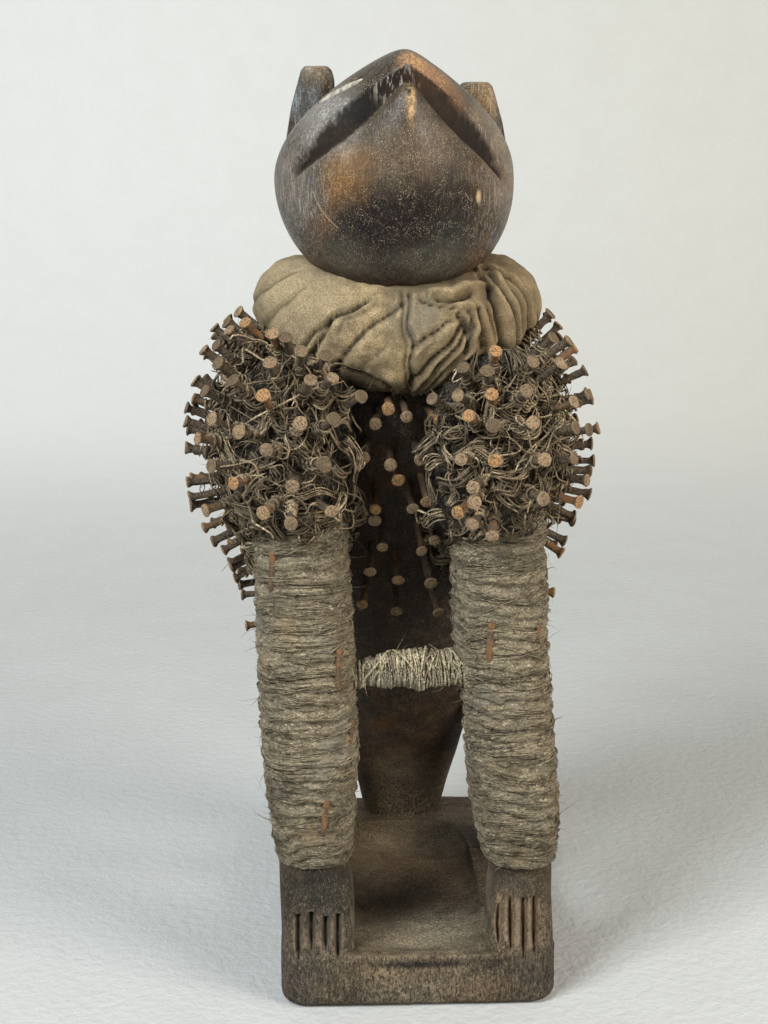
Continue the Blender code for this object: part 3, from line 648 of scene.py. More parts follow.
def make_ear_mass(side):
    centre = Vector((LEAN + side * EAR_OUT[side], back(EAR_BACK), EAR_HEIGHT[side]))
    turn = Matrix.Rotation(math.radians(6), 3, "X")
    wider = 1.0 if side == LEFT else 1.12
    rings = []
    for up in np.linspace(-0.026, 0.0235, 26):
        shift, half = between(EAR_PROFILE, up)
        thick = EAR_HALF_THICK * mix(1.15, 0.85, float(smooth((up + 0.026) / 0.05)))
        level = ring((-side * (shift - (wider - 1) * 0.010), 0, up), half * wider, thick, 40, 2.6)
        rings.append([centre + turn @ Vector(point) for point in level])
    ear = loft("ear_mass", rings)
    hollow = centre + turn @ Vector((-side * 0.0008, -EAR_HALF_THICK * 1.05, EAR_HALF_THICK))
    return cut(ear, [ellipsoid("ear_cut", hollow, (0.0072, 0.0034, 0.0145), turn)])


def make_head_mass():
    places = np.concatenate([[0.0002, 0.0010], HEAD_LENGTH * np.linspace(0.012, 0.995, 78)])
    sides = 112
    rings = [[head_point(place, math.tau * k / sides) for k in range(sides)] for place in places]
    head = loft("head_mass", rings)
    cutters = [make_mouth_cutter()]
    for side in (LEFT, RIGHT):
        centre, turn = eye_place(side)
        cutters.append(ellipsoid("socket_cut", centre, EYE_HALF + Vector((0.0008, 0.0008, 0.0010)), turn))
    return cut(head, cutters)


def tube_rings(path, sides):
    """Rings square to a path of (point, radius)."""
    rings = []
    for step, (point, radius) in enumerate(path):
        before = path[max(step - 1, 0)][0]
        after = path[min(step + 1, len(path) - 1)][0]
        ahead = (Vector(after) - Vector(before)).normalized()
        across = ahead.cross(Vector((0.9, 0.1, 0.2))).normalized()
        up = across.cross(ahead).normalized()
        angles = [math.tau * k / sides for k in range(sides)]
        rings.append([Vector(point) + float(radius) * (math.cos(a) * across + math.sin(a) * up) for a in angles])
    return rings


def curve_between(points, count):
    """Smooths a coarse row of numbers into a finer one that runs through them."""
    points = np.asarray(points, float)
    ends = np.concatenate([[2 * points[0] - points[1]], points, [2 * points[-1] - points[-2]]])
    rows = []
    for place in np.linspace(0, len(points) - 1, count):
        start = min(int(place), len(points) - 2)
        t = place - start
        a, b, c, d = ends[start:start + 4]
        rows.append(0.5 * (2 * b + (c - a) * t + (2 * a - 5 * b + 4 * c - d) * t ** 2
                           + (3 * b - a - 3 * c + d) * t ** 3))
    return np.array(rows)


def make_wood_masses():
    masses = [make_base_mass(), make_head_mass()]
    rows = curve_between([(h, *values) for h, values in BODY_STATIONS], 70)
    body = [ring((lean(h), back(where), h), half_x, half_y, 72, BODY_POWER) for h, where, half_x, half_y in rows]
    masses.append(loft("body_mass", body))
    for side in (LEFT, RIGHT):
        heights = np.array((0.020, 0.070, 0.155, 0.240, 0.275, LEG_TOP))
        shares = (1.0, 1.0, 1.0, 1.05, 1.0, 0.6)
        rings = []
        for height in np.linspace(0.020, LEG_TOP, 30):
            half = leg_half(side, height) * float(np.interp(height, heights, shares))
            rings.append(ring(leg_centre(side, height), half, half, 40, 2.6))
        masses += [loft("leg_mass", rings), make_foot_mass(side), make_ear_mass(side)]
        path = curve_between([(lean(z) + side * x, back(y), z, r) for x, y, z, r in HIND_LEG], 40)
        masses.append(loft("hind_leg_mass", tube_rings([(row[:3], row[3]) for row in path], 32)))
        x, y, _, _ = HIND_LEG[-1]
        centre = Vector((side * x, back(y - 0.010), BASE_HEIGHT + 0.003))
        masses.append(ellipsoid("hind_foot_mass", centre, HIND_FOOT_HALF))
    return masses


def carve(points, outward):
    """Tool marks, the grooves between the toes, and dents along the base."""
    grain = points * np.array([1.0, 1.0, 0.22])
    head = smooth((points[:, 2] - 0.355) / 0.02)
    facets = 0.00055 * wobble(points * np.array([1, 1, 0.6]), 0.017, 2) * (1 - 0.75 * head)
    fine = 0.00022 * wobble(grain, 0.0042, 3) * (1 - 0.6 * head)
    dents = 0.0006 * lumps(points, 0.022, 4) * smooth((0.04 - points[:, 2]) / 0.02)
    mouth = head * smooth((0.004 + (points[:, 1] + 0.075)) / -0.01) * np.clip(-outward[:, 2], 0, 1)
    chips = 0.0007 * wobble(points * np.array([1.0, 1.0, 1.6]), 0.0035, 8) * mouth * (points[:, 2] > 0.428)
    # the underside stays flat
    amount = (facets + fine + dents + chips) * smooth((points[:, 2] - 0.0004) / 0.003)
    moved = points + outward * amount[:, None]
    moved[:, 1] += 0.0046 * toe_grooves(points) * (outward[:, 1] < 0.1)
    return moved


def mark_wood(wood):
    """Marks the walls of the mouth's notch and the toe grooves for the wood's material."""
    points, outward = coordinates(wood.data), normals(wood.data)
    snout, side, muzzle, crown = (np.array(part) for part in head_frame())
    gap = points - snout
    along, across, up = -gap @ muzzle, gap @ side, gap @ crown
    wide = swell(along, HEAD_HALF_WIDTH)
    tall = np.where(up > 0, swell(along, HEAD_CROWN), swell(along, HEAD_JAW))
    level = np.hypot(across / np.maximum(wide, 1e-4), up / np.maximum(tall, 1e-4))
    inside = smooth((0.975 - level) / 0.035) * (along > 0) * (along < 0.066) * (up < 0.014) * (up > -0.026)
    facing = outward @ crown
    mark(wood, "undercut", inside * smooth((0.12 - facing) / 0.2))
    mark(wood, "lip_bed", inside * smooth(facing / 0.2))
    mark(wood, "toe_groove", toe_grooves(points - np.array([0, 0.0042, 0])))


def finish(piece, slot, *nodes):
    """Says where the piece rides and which solids it stands for; the slot, what it is made of, is not used."""
    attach(piece, BODY)
    if nodes:
        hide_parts(*nodes)


class FIGURE_OT_wood(bpy.types.Operator):
    """Carve the base, legs, body and head from one block"""
    bl_idname = "figure.carve_wood"
    bl_label = "Carve Wood"

    def execute(self, context):
        sizes = context.scene.figure_wood
        wood = joined("carved_wood", make_wood_masses())
        remesh = wood.modifiers.new("Remesh", "REMESH")
        remesh.mode = "VOXEL"
        remesh.voxel_size = sizes.voxel * 1.0
        relax = wood.modifiers.new("Relax", "SMOOTH")
        relax.factor = 0.5
        relax.iterations = 1
        settled(wood)
        set_coordinates(wood.data, carve(coordinates(wood.data), normals(wood.data)))
        fewer = wood.modifiers.new("Fewer", "DECIMATE")
        fewer.ratio = min(1.0, sizes.faces / (2 * len(wood.data.polygons)))
        settled(wood)
        wood.data.shade_smooth()
        mark_wood(wood)
        wood.data.materials.clear()
        wood.data.materials.append(wood_material(sizes))
        finish(wood, "dark_wood", "carved_figure")
        return {"FINISHED"}


class FIGURE_OT_eyes(bpy.types.Operator):
    """Set the pale inlaid eyes"""
    bl_idname = "figure.set_eyes"
    bl_label = "Set Eyes"

    def execute(self, context):
        pale = inlay_material()
        for side in (LEFT, RIGHT):
            centre, turn = eye_place(side)
            eye = ellipsoid(SIDE_NAMES[side] + "_inlay", centre, EYE_HALF, turn)
            points = coordinates(eye.data)
            set_coordinates(eye.data, points + normals(eye.data) * 0.00018 * wobble(points, 0.003)[:, None])
            eye.data.materials.append(pale)
            finish(eye, "pale_eye", SIDE_NAMES[side] + "_eye")
        return {"FINISHED"}


# Twine

def binding_half(side, height):
    places, halves = zip(*BINDING_HALVES[side])
    return np.interp(height, places, halves)


def round_leg(side, turn, height, out=0.0):
    """Points round a bound leg, at turns and heights, and a distance out from the binding's surface."""
    places, across = zip(*LEG_PATHS[side])
    half = binding_half(side, height) + out
    power = 2 / 2.35
    x = np.sign(np.cos(turn)) * np.abs(np.cos(turn)) ** power * half
    y = np.sign(np.sin(turn)) * np.abs(np.sin(turn)) ** power * half * BINDING_DEPTH
    return np.stack([np.interp(height, places, across) + x, back(LEG_BACK) + y, height + 0 * x], axis=-1)


def twine_relief(side, turn, height):
    """How far the wound twine stands out at turns and heights, and how pale it is painted there: pale on the ridges
    as painted highlight and dark in the grooves as painted shade, with clumps of random tone.
    """
    spot = np.stack([np.cos(turn), np.sin(turn), height * 40], -1)
    level = (height + 0.0042 * wobble(spot, 0.7, 60 + side) + 0.0014 * wobble(spot, 0.22, 62)
             + 0.0028 * np.sin(turn + side))
    band = np.abs(np.sin(math.pi * level / 0.0074)) ** 0.6
    cord = np.abs(np.sin(math.pi * level / 0.0021 + 1.5 * wobble(spot, 0.3, 63))) ** 0.8
    clump = wobble(spot * np.array([1, 1, 2.2]), 0.13, 64)
    out = 0.0016 * (band - 0.75) + 0.0006 * (cord - 0.6) + 0.0006 * clump
    return out, np.clip(0.12 + 0.62 * band * (0.45 + 0.55 * cord) + 0.22 * clump, 0, 1)


def wind_leg(side, sizes, rng):
    """Felted bands of twine round a foreleg: a grooved sleeve, and loose strands over it."""
    low, high = BINDING_HALVES[side][0][0], BINDING_HALVES[side][-1][0]
    steps = 18
    paths, radii, tones = [], [], []

    def add(centre, start, sweep, slope, thick, sway, out, tone):
        turn = start + np.linspace(0, sweep, steps)
        spot = np.stack([np.cos(turn) * 1.6, np.sin(turn) * 1.6, 0 * turn + centre * 90], -1)
        height = centre + slope * (turn - start - sweep / 2) + sway * wobble(spot * 1.9, 1.0, len(paths) % 61)
        height = np.clip(height, low + 0.0003, high)
        relief, _ = twine_relief(side, turn, height)
        ends = soft_ends(steps)
        paths.append(round_leg(side, turn, height, relief + out * ends - 0.0006 * (1 - ends)))
        radii.append(thick * (0.35 + 0.65 * ends))
        tones.append(np.clip(tone, 0, 1))

    for _ in range(sizes.clumps):
        centre, start = rng.uniform(low, high), rng.uniform(0, math.tau)
        sweep, slope = rng.uniform(0.10, 0.42) * math.tau, rng.normal(0, 0.0016)
        sway, tone = rng.uniform(0.0003, 0.0013), rng.uniform(0.25, 0.85)
        for strand in range(rng.integers(4, 9)):
            add(centre + (strand - 3) * rng.uniform(0.0004, 0.0008), start + rng.uniform(-0.2, 0.2), sweep,
                slope + rng.normal(0, 0.0005), sizes.strand * rng.uniform(0.6, 1.3), sway,
                rng.uniform(-0.0001, 0.0004), tone + 0.18 * rng.standard_normal())
    for _ in range(sizes.crossing):
        add(rng.uniform(low + 0.003, high - 0.003), rng.uniform(0, math.tau), rng.uniform(0.05, 0.35) * math.tau,
            rng.normal(0, 0.0075), sizes.strand * rng.uniform(0.4, 1.0), rng.uniform(0.0006, 0.0028),
            rng.uniform(0.0001, 0.0007), rng.uniform(0.3, 1.1))
    wound = strands(SIDE_NAMES[side] + "_leg_twine", paths, radii, tones)

    rows, around = 290, 92
    height = np.broadcast_to(np.linspace(low, high, rows)[:, None], (rows, around))
    turn = np.broadcast_to(np.arange(around) * math.tau / around, (rows, around))
    relief, pale = twine_relief(side, turn, height)
    sleeve = loft(SIDE_NAMES[side] + "_leg_sleeve", round_leg(side, turn, height, relief - 0.0002))
    # The tone carries the painted highlight on the ridges and the painted shade in the grooves
    mark(sleeve, "tone", pale)
    return wound, sleeve


def fray(name, starts, ways, rng, reach=(0.003, 0.009), thick=(0.00012, 0.00022)):
    """Short curling ends that leave a surface at each start."""
    steps = 9
    paths, radii = [], []
    for start, way in zip(starts, ways):
        way = unit(way + 0.9 * rng.standard_normal(3))
        bend = rng.standard_normal((2, 3))
        share = np.linspace(0, 1, steps)[:, None]
        long = rng.uniform(*reach)
        path = start + way * long * share + long * 0.45 * (bend[0] * share ** 2 + bend[1] * share ** 3 * 0.7)
        paths.append(path)
        radii.append(rng.uniform(*thick) * (1.15 - share[:, 0]))
    return strands(name, paths, radii, rng.uniform(0.3, 1.0, len(paths)))


class FIGURE_OT_bindings(bpy.types.Operator):
    """Wind the twine round both forelegs, over rusty nails"""
    bl_idname = "figure.wind_bindings"
    bl_label = "Wind Bindings"

    def execute(self, context):
        sizes = context.scene.figure_twine
        twine = twine_material("leg_twine", sizes.colour)
        iron = iron_material(context.scene.figure_nails)
        for side in (LEFT, RIGHT):
            rng = np.random.default_rng(31 + side)
            wound, sleeve = wind_leg(side, sizes, rng)
            low, high = BINDING_HALVES[side][0][0], BINDING_HALVES[side][-1][0]
            turn = rng.uniform(0, math.tau, sizes.frays)
            height = rng.uniform(low, high, sizes.frays)
            away = np.stack([np.cos(turn), np.sin(turn), 0 * turn], -1)
            loose = fray(SIDE_NAMES[side] + "_leg_frays", round_leg(side, turn, height, 0.0002), away, rng)
            for piece in (wound, sleeve, loose):
                piece.data.materials.append(twine)
            share = np.linspace(0, 1, 9)
            rods = [round_leg(side, math.radians(turn) + 0.10 * (share - 0.5), mix(low, high, share), -0.0004)
                    for turn, low, high in BOUND_NAILS[side]]
            radius = 0.0017 * (1 + 0.08 * rng.standard_normal((len(rods), 9)))
            radius[:, 0] *= 0.5
            radius[:, -1] *= 1.3
            bound = strands(SIDE_NAMES[side] + "_bound_nails", rods, radius, [0.93] * len(rods), sides=10)
            mark(bound, "head", np.zeros(len(bound.data.vertices)))
            bound.data.materials.append(iron)
            finish(wound, "twine", SIDE_NAMES[side] + "_leg_binding")
            finish(sleeve, "twine")
            finish(loose, "twine")
            finish(bound, "rusted_nails")
        return {"FINISHED"}


def tie_path(share):
    """Middle and half thickness of the tie, from the left leg to the right."""
    start = leg_centre(LEFT, TIE_HEIGHT)[0] + leg_half(LEFT, TIE_HEIGHT) + 0.0012
    end = leg_centre(RIGHT, TIE_HEIGHT)[0] - leg_half(RIGHT, TIE_HEIGHT) - 0.0012
    thick = mix(TIE_HALF_LOW, TIE_HALF_HIGH, smooth(share * 1.7))
    height = TIE_HEIGHT + 0.003 * share + 0.0015 * np.sin(math.pi * share)
    x = mix(start, end, share)
    return np.stack([x, np.full_like(x, back(LEG_BACK - 0.004)), height], -1), thick


class FIGURE_OT_tie(bpy.types.Operator):
    """Wind the bound cord between the forelegs"""
    bl_idname = "figure.wind_tie"
    bl_label = "Wind Tie"

    def execute(self, context):
        sizes = context.scene.figure_twine
        rng = np.random.default_rng(77)
        steps = 20
        paths, radii, tones = [], [], []
        for number in range(300):
            loose = number > 240
            share = rng.uniform(-0.02, 1.02)
            turn = rng.uniform(0, math.tau) + np.linspace(0, rng.uniform(0.35, 1.0) * math.tau, steps)
            slant = rng.uniform(-0.14, 0.14) if loose else rng.uniform(-0.05, 0.05)
            place = np.clip(share + slant * np.cos(turn - 0.8), 0, 1)
            middle, thick = tie_path(place)
            ends = soft_ends(steps)
            lump = 0.0014 * wobble(np.stack([place * 9, np.cos(turn), np.sin(turn)], -1), 1.0, 5)
            lump += 0.0022 * np.exp(-((place - 0.62) / 0.06) ** 2) * (np.sin(turn) < -0.2)
            out = thick + (rng.uniform(-0.0007, 0.0007) + lump + 0.0006 * loose) * ends - 0.0014 * (1 - ends)
            paths.append(middle + np.stack([0 * turn, np.cos(turn) * out, np.sin(turn) * out], -1))
            radii.append(sizes.strand * rng.uniform(1.1, 2.2) * (0.35 + 0.65 * ends))
            tones.append(np.clip(0.6 + 0.25 * rng.standard_normal(), 0, 1))
        tie = strands("tie_twine", paths, radii, tones)
        tie.data.materials.append(twine_material("tie_twine", (0.56, 0.47, 0.31)))
        core_points, thick = tie_path(np.linspace(0, 1, 24))
        core = loft("tie_core", tube_rings([(Vector(p), t - 0.0008) for p, t in zip(core_points, thick)], 24))
        # Painted shade: the core shows only between the strands and takes a dark tone
        mark(core, "tone", np.full(len(core.data.vertices), 0.1))
        core.data.materials.append(bpy.data.materials["leg_twine"])
        share = rng.uniform(0, 1, 30)
        middle, thick = tie_path(share)
        turn = rng.uniform(0, math.tau, 30)
        away = np.stack([0 * turn, np.cos(turn), np.sin(turn)], -1)
        loose = fray("tie_frays", middle + away * thick[:, None], away, rng)
        loose.data.materials.append(bpy.data.materials["tie_twine"])
        finish(tie, "twine", "leg_tie")
        finish(core, "twine")
        finish(loose, "twine")
        return {"FINISHED"}


# Cloth

def cloth_section(angle):
    """How far out, low and high the collar goes, at an angle that grows from the front to the right."""
    front = max(0.0, math.cos(angle)) ** 1.5
    behind = max(0.0, -math.cos(angle))
    knot = CLOTH_KNOT * max(0.0, math.sin(angle)) ** 2
    reach = CLOTH_HALF_WIDTH - 0.0060 * front - 0.012 * behind + knot
    low = mix(0.320, CLOTH_LOW_FRONT, front)
    top = mix(CLOTH_TOP, 0.3560, front) - 0.006 * behind
    return reach, low, top


# Folds in the collar: depth in millimetres (down is positive), half width in degrees of the section,
# the side of the line whose cloth laps over the other's (1 or -1), and the line that the fold follows,
# as degrees round the neck and round the section
CLOTH_FOLDS = (
    (4.6, 2.6, 1,
     ((-14, 44), (-18, 38), (-21, 30), (-26, 24), (-30, 16), (-31, 6), (-33, -4), (-36, -14), (-42, -34))),
    (2.6, 2.0, 1, ((-30, 14), (-34, 6), (-37, 0), (-40, -10), (-46, -26))),
    (2.2, 2.2, 1, ((2, 44), (0, 38), (-7, 24), (-14, 10), (-18, -4), (-27, -28), (-32, -50))),
    (1.0, 1.8, 1, ((-10, 38), (-12, 32), (-23, 18), (-26, 2))),
    (1.0, 1.8, 1, ((-4, -2), (-9, -16), (-16, -30))),
    (2.2, 2.2, 1, ((-28, -30), (-15, -37), (-8, -48), (-4, -66))),
    (2.0, 1.5, 1, ((6, 60), (5, 48), (4, 18), (5, -2), (6, -16), (7, -50), (7, -80))),
    (1.4, 1.4, -1, ((2.5, 60), (1.5, 18), (2.5, -2), (3.5, -16), (4, -50))),
    (2.2, 1.8, -1, ((5, -6), (10, 2), (15, 8), (21, 18), (26, 20))),
    (3.2, 1.8, -1, ((6, -60), (8, -42), (16, -22), (22, -6), (25, 4), (27, 12))),
    (3.0, 1.8, -1, ((10, -66), (13, -50), (20, -26), (26, -8), (29, 4))),
    (2.2, 1.6, -1, ((14, -66), (18, -48), (25, -28), (31, -12))),
    (3.2, 1.8, 1, ((27, 26), (28, 14), (30, 2))),
    (2.8, 1.6, 1, ((30.5, 26), (31, 12), (31, -4), (30, -18))),
    (2.8, 1.6, 1, ((35, 26), (35, 10), (36, -6), (38, -20))),
    (2.0, 1.4, 1, ((40, 24), (41, 8), (43, -10))),
    (5.6, 3.2, 1, ((20, 46), (25, 42), (30, 43), (36, 46))),
    (2.4, 1.6, 1, ((10, 46), (17, 38), (24, 34), (29, 30))),
    (3.4, 1.8, 1, ((53, 72), (56, 62), (61, 48), (63, 26), (65, 4), (69, -20), (70, -40))),
    (5.4, 2.8, 1, ((49, 66), (47, 50), (45, 34), (45, 12), (47, -10), (50, -34))),
    (3.6, 1.8, 1, ((53, 62), (51, 46), (51, 26), (53, 6), (56, -16), (58, -34))),
    (1.6, 1.5, 1, ((57, 54), (57, 30), (59, 8), (61, -14))),
    (1.2, 3.0, 1, ((-60, 60), (-70, 30), (-84, 6), (-100, -10))),
    (1.2, 3.0, 1, ((-48, 44), (-54, 20), (-66, -8), (-80, -30))),
    (2.2, 3.0, 1, ((-150, 60), (-140, 20), (-150, -30))),
    (2.4, 3.0, 1, ((150, 50), (158, 10), (146, -40))),
    (2.2, 3.2, -1, ((104, 60), (110, 20), (98, -40))),
    (2.0, 3.0, 1, ((-104, 50), (-94, 10), (-108, -44))),
    (1.8, 2.6, -1, ((128, 50), (126, 10), (132, -40))),
    (1.8, 2.6, 1, ((178, 50), (172, 10), (180, -40))),
    (1.6, 2.6, 1, ((-126, 40), (-122, 0), (-130, -40))),
)


def near_line(u, v, line):
    """Distance of each (u, v) from a row of points, in degrees, and the side of it that it lies on."""
    best, side = np.full(u.shape, 1e9), np.zeros(u.shape)
    for (u0, v0), (u1, v1) in zip(line, line[1:]):
        du, dv = u1 - u0, (v1 - v0) * 0.6
        gap_u, gap_v = u - u0, (v - v0) * 0.6
        share = np.clip((gap_u * du + gap_v * dv) / (du * du + dv * dv + 1e-9), 0, 1)
        gap = np.hypot(gap_u - share * du, gap_v - share * dv)
        nearer = gap < best
        best = np.where(nearer, gap, best)
        side = np.where(nearer, np.sign(du * gap_v - dv * gap_u), side)
    return best, side


class FIGURE_OT_cloth(bpy.types.Operator):
    """Roll and knot the cloth round the neck"""
    bl_idname = "figure.roll_cloth"
    bl_label = "Roll Cloth"

    def execute(self, context):
        around, section = 490, 100
        u = np.arange(around) * 360 / around
        u = np.where(u > 180, u - 360, u)
        v = np.arange(section) * 360 / section
        v = np.where(v > 180, v - 360, v)
        rings = np.zeros((around, section, 3))
        for step in range(around):
            angle = math.radians(u[step])
            reach, low, top = cloth_section(angle)
            outward = np.array([math.sin(angle), -math.cos(angle), 0])
            middle = np.array([LEAN, back(NECK_BACK), (low + top) / 2]) + outward * (CLOTH_INNER + reach) / 2
            turn = np.radians(v)[:, None]
            rings[step] = (middle + outward * np.cos(turn) * (reach - CLOTH_INNER) / 2
                           + np.array([0, 0, 1]) * np.sin(turn) * (top - low) / 2)
        uu, vv = np.meshgrid(u, v, indexing="ij")
        push, crease_shade = np.zeros(uu.shape), np.zeros(uu.shape)
        wander = 1.6 * wobble(rings, 0.009, 51)
        for depth, width, lap, line in CLOTH_FOLDS:
            gap, side = near_line(uu + wander, vv, line)
            trough = np.exp(-(gap / (0.72 * width)) ** 2)
            lapped = side * lap > 0
            crest = np.exp(-((gap - 1.9 * width) / (1.3 * width)) ** 2) * lapped
            push += 0.001 * depth * (0.5 * crest - trough * np.where(lapped, 0.75, 1.0))
            # How strongly the material paints shade along each fold line
            crease_shade = np.maximum(crease_shade, min(1.0, 0.25 + depth / 3) * np.exp(-(gap / (0.5 * width)) ** 2))
        slant = rings @ np.array([[0.8, 0, 0.6], [0, 0.35, 0], [-0.25, 0, 0.35]])
        push += (0.0006 * lumps(rings, 0.022, 11) + 0.0006 * wobble(slant, 0.0035, 12)
                 + 0.0002 * wobble(rings, 0.003, 13))
        cloth = loft("collar_cloth", rings, loop=True)
        set_coordinates(cloth.data, coordinates(cloth.data) + normals(cloth.data) * push.reshape(-1, 1))
        mark(cloth, "crease_shade", crease_shade)
        cloth.data.materials.append(cloth_material(context.scene.figure_cloth))
        finish(cloth, "collar_cloth", "neck_cloth")
        rng = np.random.default_rng(5)
        points, outward = coordinates(cloth.data), normals(cloth.data)
        folded = np.flatnonzero(crease_shade.ravel() > 0.75)
        picked = rng.choice(folded, 260)
        edge = np.flatnonzero((points[:, 2] < 0.318) & (points[:, 1] < -0.05))
        picked = np.concatenate([picked, rng.choice(edge, 120)])
        threads = fray("collar_frays", points[picked] - outward[picked] * 0.0004, outward[picked], rng,
                       (0.002, 0.007), (0.00010, 0.00020))
        threads.data.materials.append(twine_material("cloth_thread", (0.30, 0.24, 0.15)))
        finish(threads, "collar_cloth")
        return {"FINISHED"}


# Nails

def shoulder_section(side, height):
    out, where, half_x, half_y = between(SHOULDER_STATIONS, height)
    return np.array([LEAN + side * out + SHOULDER_SHIFT[side], back(where), height]), half_x, half_y


def pad_normal(side, height, turn):
    """Root and direction of a nail that stands in a shoulder pad, turned from the front to the outside."""
    centre, half_x, half_y = shoulder_section(side, height)
    away = np.array([side * math.sin(turn), -math.cos(turn), 0])
    root = centre + away * np.array([half_x, half_y, 0])
    rise = mix(math.radians(-28), math.radians(40), float(smooth((height - 0.225) / 0.098)))
    flat = unit(unit(away / np.array([half_x, half_y, 1])) + away * 0.8)
    return root, flat * math.cos(rise) + np.array([0, 0, math.sin(rise)])


def chest_nail_line(across, height):
    """Surface point of a chest nail and the way it points, square to the belly and drooping."""
    point = body_front(across, height)
    above = body_front(across, height + 0.004)
    aside = body_front(across + 0.004, height)
    outward = (aside - point).cross(above - point).normalized()
    if outward.y > 0:
        outward = -outward
    return point, (outward + Vector((0, 0, -0.14))).normalized()


def nails(name, lines, sizes, rng, least_rust=0.0):
    """Rusted nails with round heads. Each line is a root on the surface, a direction and a length."""
    sides = 12
    points, faces, tones, heads = [], [], [], []
    for root, direction, out in lines:
        ahead = unit(np.asarray(direction, float))
        across = unit(np.cross(ahead, ODD_WAY))
        up = np.cross(ahead, across)
        thick = sizes.shank * rng.uniform(0.85, 1.12)
        wide = sizes.head * rng.uniform(0.92, 1.06)
        neck = out - 0.0013
        crust = rng.uniform(0.95, 1.18)
        profile = np.array((
            (thick, -0.007), (thick * crust, 0.001), (thick * crust, out * 0.3), (thick * crust, out * 0.55),
            (thick, out * 0.8), (thick * 1.05, neck - 0.0015), (thick * 1.5, neck), (wide, neck + 0.0005),
            (wide * 0.98, out - 0.0002), (wide * 0.82, out + 0.0001), (wide * 0.4, out + 0.00015)))
        rough = 1 + 0.08 * rng.standard_normal((len(profile), sides))
        rough[7:] = 1 + 0.03 * rng.standard_normal(sides)
        radius = profile[:, :1] * rough
        along = profile[:, 1:] + 0 * radius
        bend = across * rng.uniform(-1, 1) + up * rng.uniform(-1, 1)
        tilt = 0.12 * rng.uniform(-1, 1) * np.cos(np.arange(sides) * math.tau / sides + rng.uniform(0, math.tau))
        along[7:] += tilt * radius[7:]
        turn = np.arange(sides) * math.tau / sides
        ringed = (np.asarray(root) + ahead * along[..., None]
                  + (across * np.cos(turn)[:, None] + up * np.sin(turn)[:, None]) * radius[..., None]
                  + bend * 0.0012 * (np.clip(along, 0, None)[..., None] / out) ** 2)
        start = len(points) * len(profile) * sides
        points.append(ringed.reshape(-1, 3))
        faces += grid_faces(len(profile), sides, start=start).tolist()
        faces.append(list(range(start, start + sides))[::-1])
        faces.append(list(range(start + (len(profile) - 1) * sides, start + len(profile) * sides)))
        tones += [rng.uniform(least_rust, 1)] * (len(profile) * sides)
        heads += [float(row >= 7) for row in range(len(profile)) for _ in range(sides)]
    made = mesh_object(name, np.concatenate(points), faces)
    mark(made, "tone", tones)
    mark(made, "head", heads)
    made.data.set_sharp_from_angle(angle=math.radians(50))
    return made


def shoulder_lines(side, sizes, rng):
    """The nails of one shoulder: those seen from the front, those behind, and the low ones on the flank."""
    lines = []
    for height, turn in SEEN_NAILS[side]:
        root, direction = pad_normal(side, height / 1000, math.radians(turn))
        lines.append((root, unit(direction + 0.05 * rng.standard_normal(3)), NAIL_OUT * rng.uniform(0.94, 1.03)))
    golden = math.pi * (3 - math.sqrt(5))
    for number in range(sizes.hidden):
        height = mix(0.210, 0.322, ((number + 0.5) / sizes.hidden) ** 0.8)
        turn = mix(math.radians(104), math.radians(165), (number * golden / math.tau) % 1.0)
        root, direction = pad_normal(side, height, turn)
        centre, half_x, half_y = body_section(height)
        inside = abs(root[0] - centre.x) / (half_x + 0.004)
        depth = abs(root[1] - centre.y) / (half_y + 0.004)
        if inside ** BODY_POWER + depth ** BODY_POWER < 1:
            continue
        tip = root + direction * NAIL_OUT
        if tip[2] > 0.300 and math.hypot(tip[0] - LEAN, tip[1] - back(NECK_BACK)) < CLOTH_HALF_WIDTH + 0.008:
            continue
        lines.append((root, direction, NAIL_OUT * rng.uniform(0.92, 1.02)))
    for height, behind in FLANK_NAILS[side]:
        centre, half_x, half_y = body_section(height)
        root = np.array([centre.x + side * half_x * (1 - abs(behind / half_y) ** 2), centre.y + behind, height])
        lines.append((root, unit(np.array([side, behind * 12, -0.10])), FLANK_NAIL_OUT * rng.uniform(0.92, 1.06)))
    return lines


def pad_surface(side, turn, height, out=0.0):
    """Points on a shoulder pad, at turns from the front to the outside."""
    sections = [shoulder_section(side, h) for h in np.ravel(height)]
    sections = np.array([(*centre[:2], *halves) for centre, *halves in sections])
    sections = sections.reshape(*np.shape(height), 4)
    x = sections[..., 0] + side * np.sin(turn) * (sections[..., 2] + out)
    y = sections[..., 1] - np.cos(turn) * (sections[..., 3] + out)
    return np.stack([x, y, height + 0 * x], -1)


def make_pad(side):
    """The mass of fibre and pitch that the nails stand in."""
    rings = []
    for height in np.linspace(0.197, 0.330, 96):
        centre, half_x, half_y = shoulder_section(side, height)
        rings.append(ring(centre, half_x, half_y, 100, 2.2))
    pad = loft(SIDE_NAMES[side] + "_pad", rings)
    points = coordinates(pad.data)
    push = (0.0008 + 0.0032 * lumps(points, 0.012, 21) + 0.0022 * lumps(points, 0.0042, 22)
            + 0.0008 * wobble(points, 0.002, 23))
    push = np.where(points[:, 2] > 0.315, np.minimum(push, 0), push)
    set_coordinates(pad.data, points + normals(pad.data) * push[:, None])
    return pad


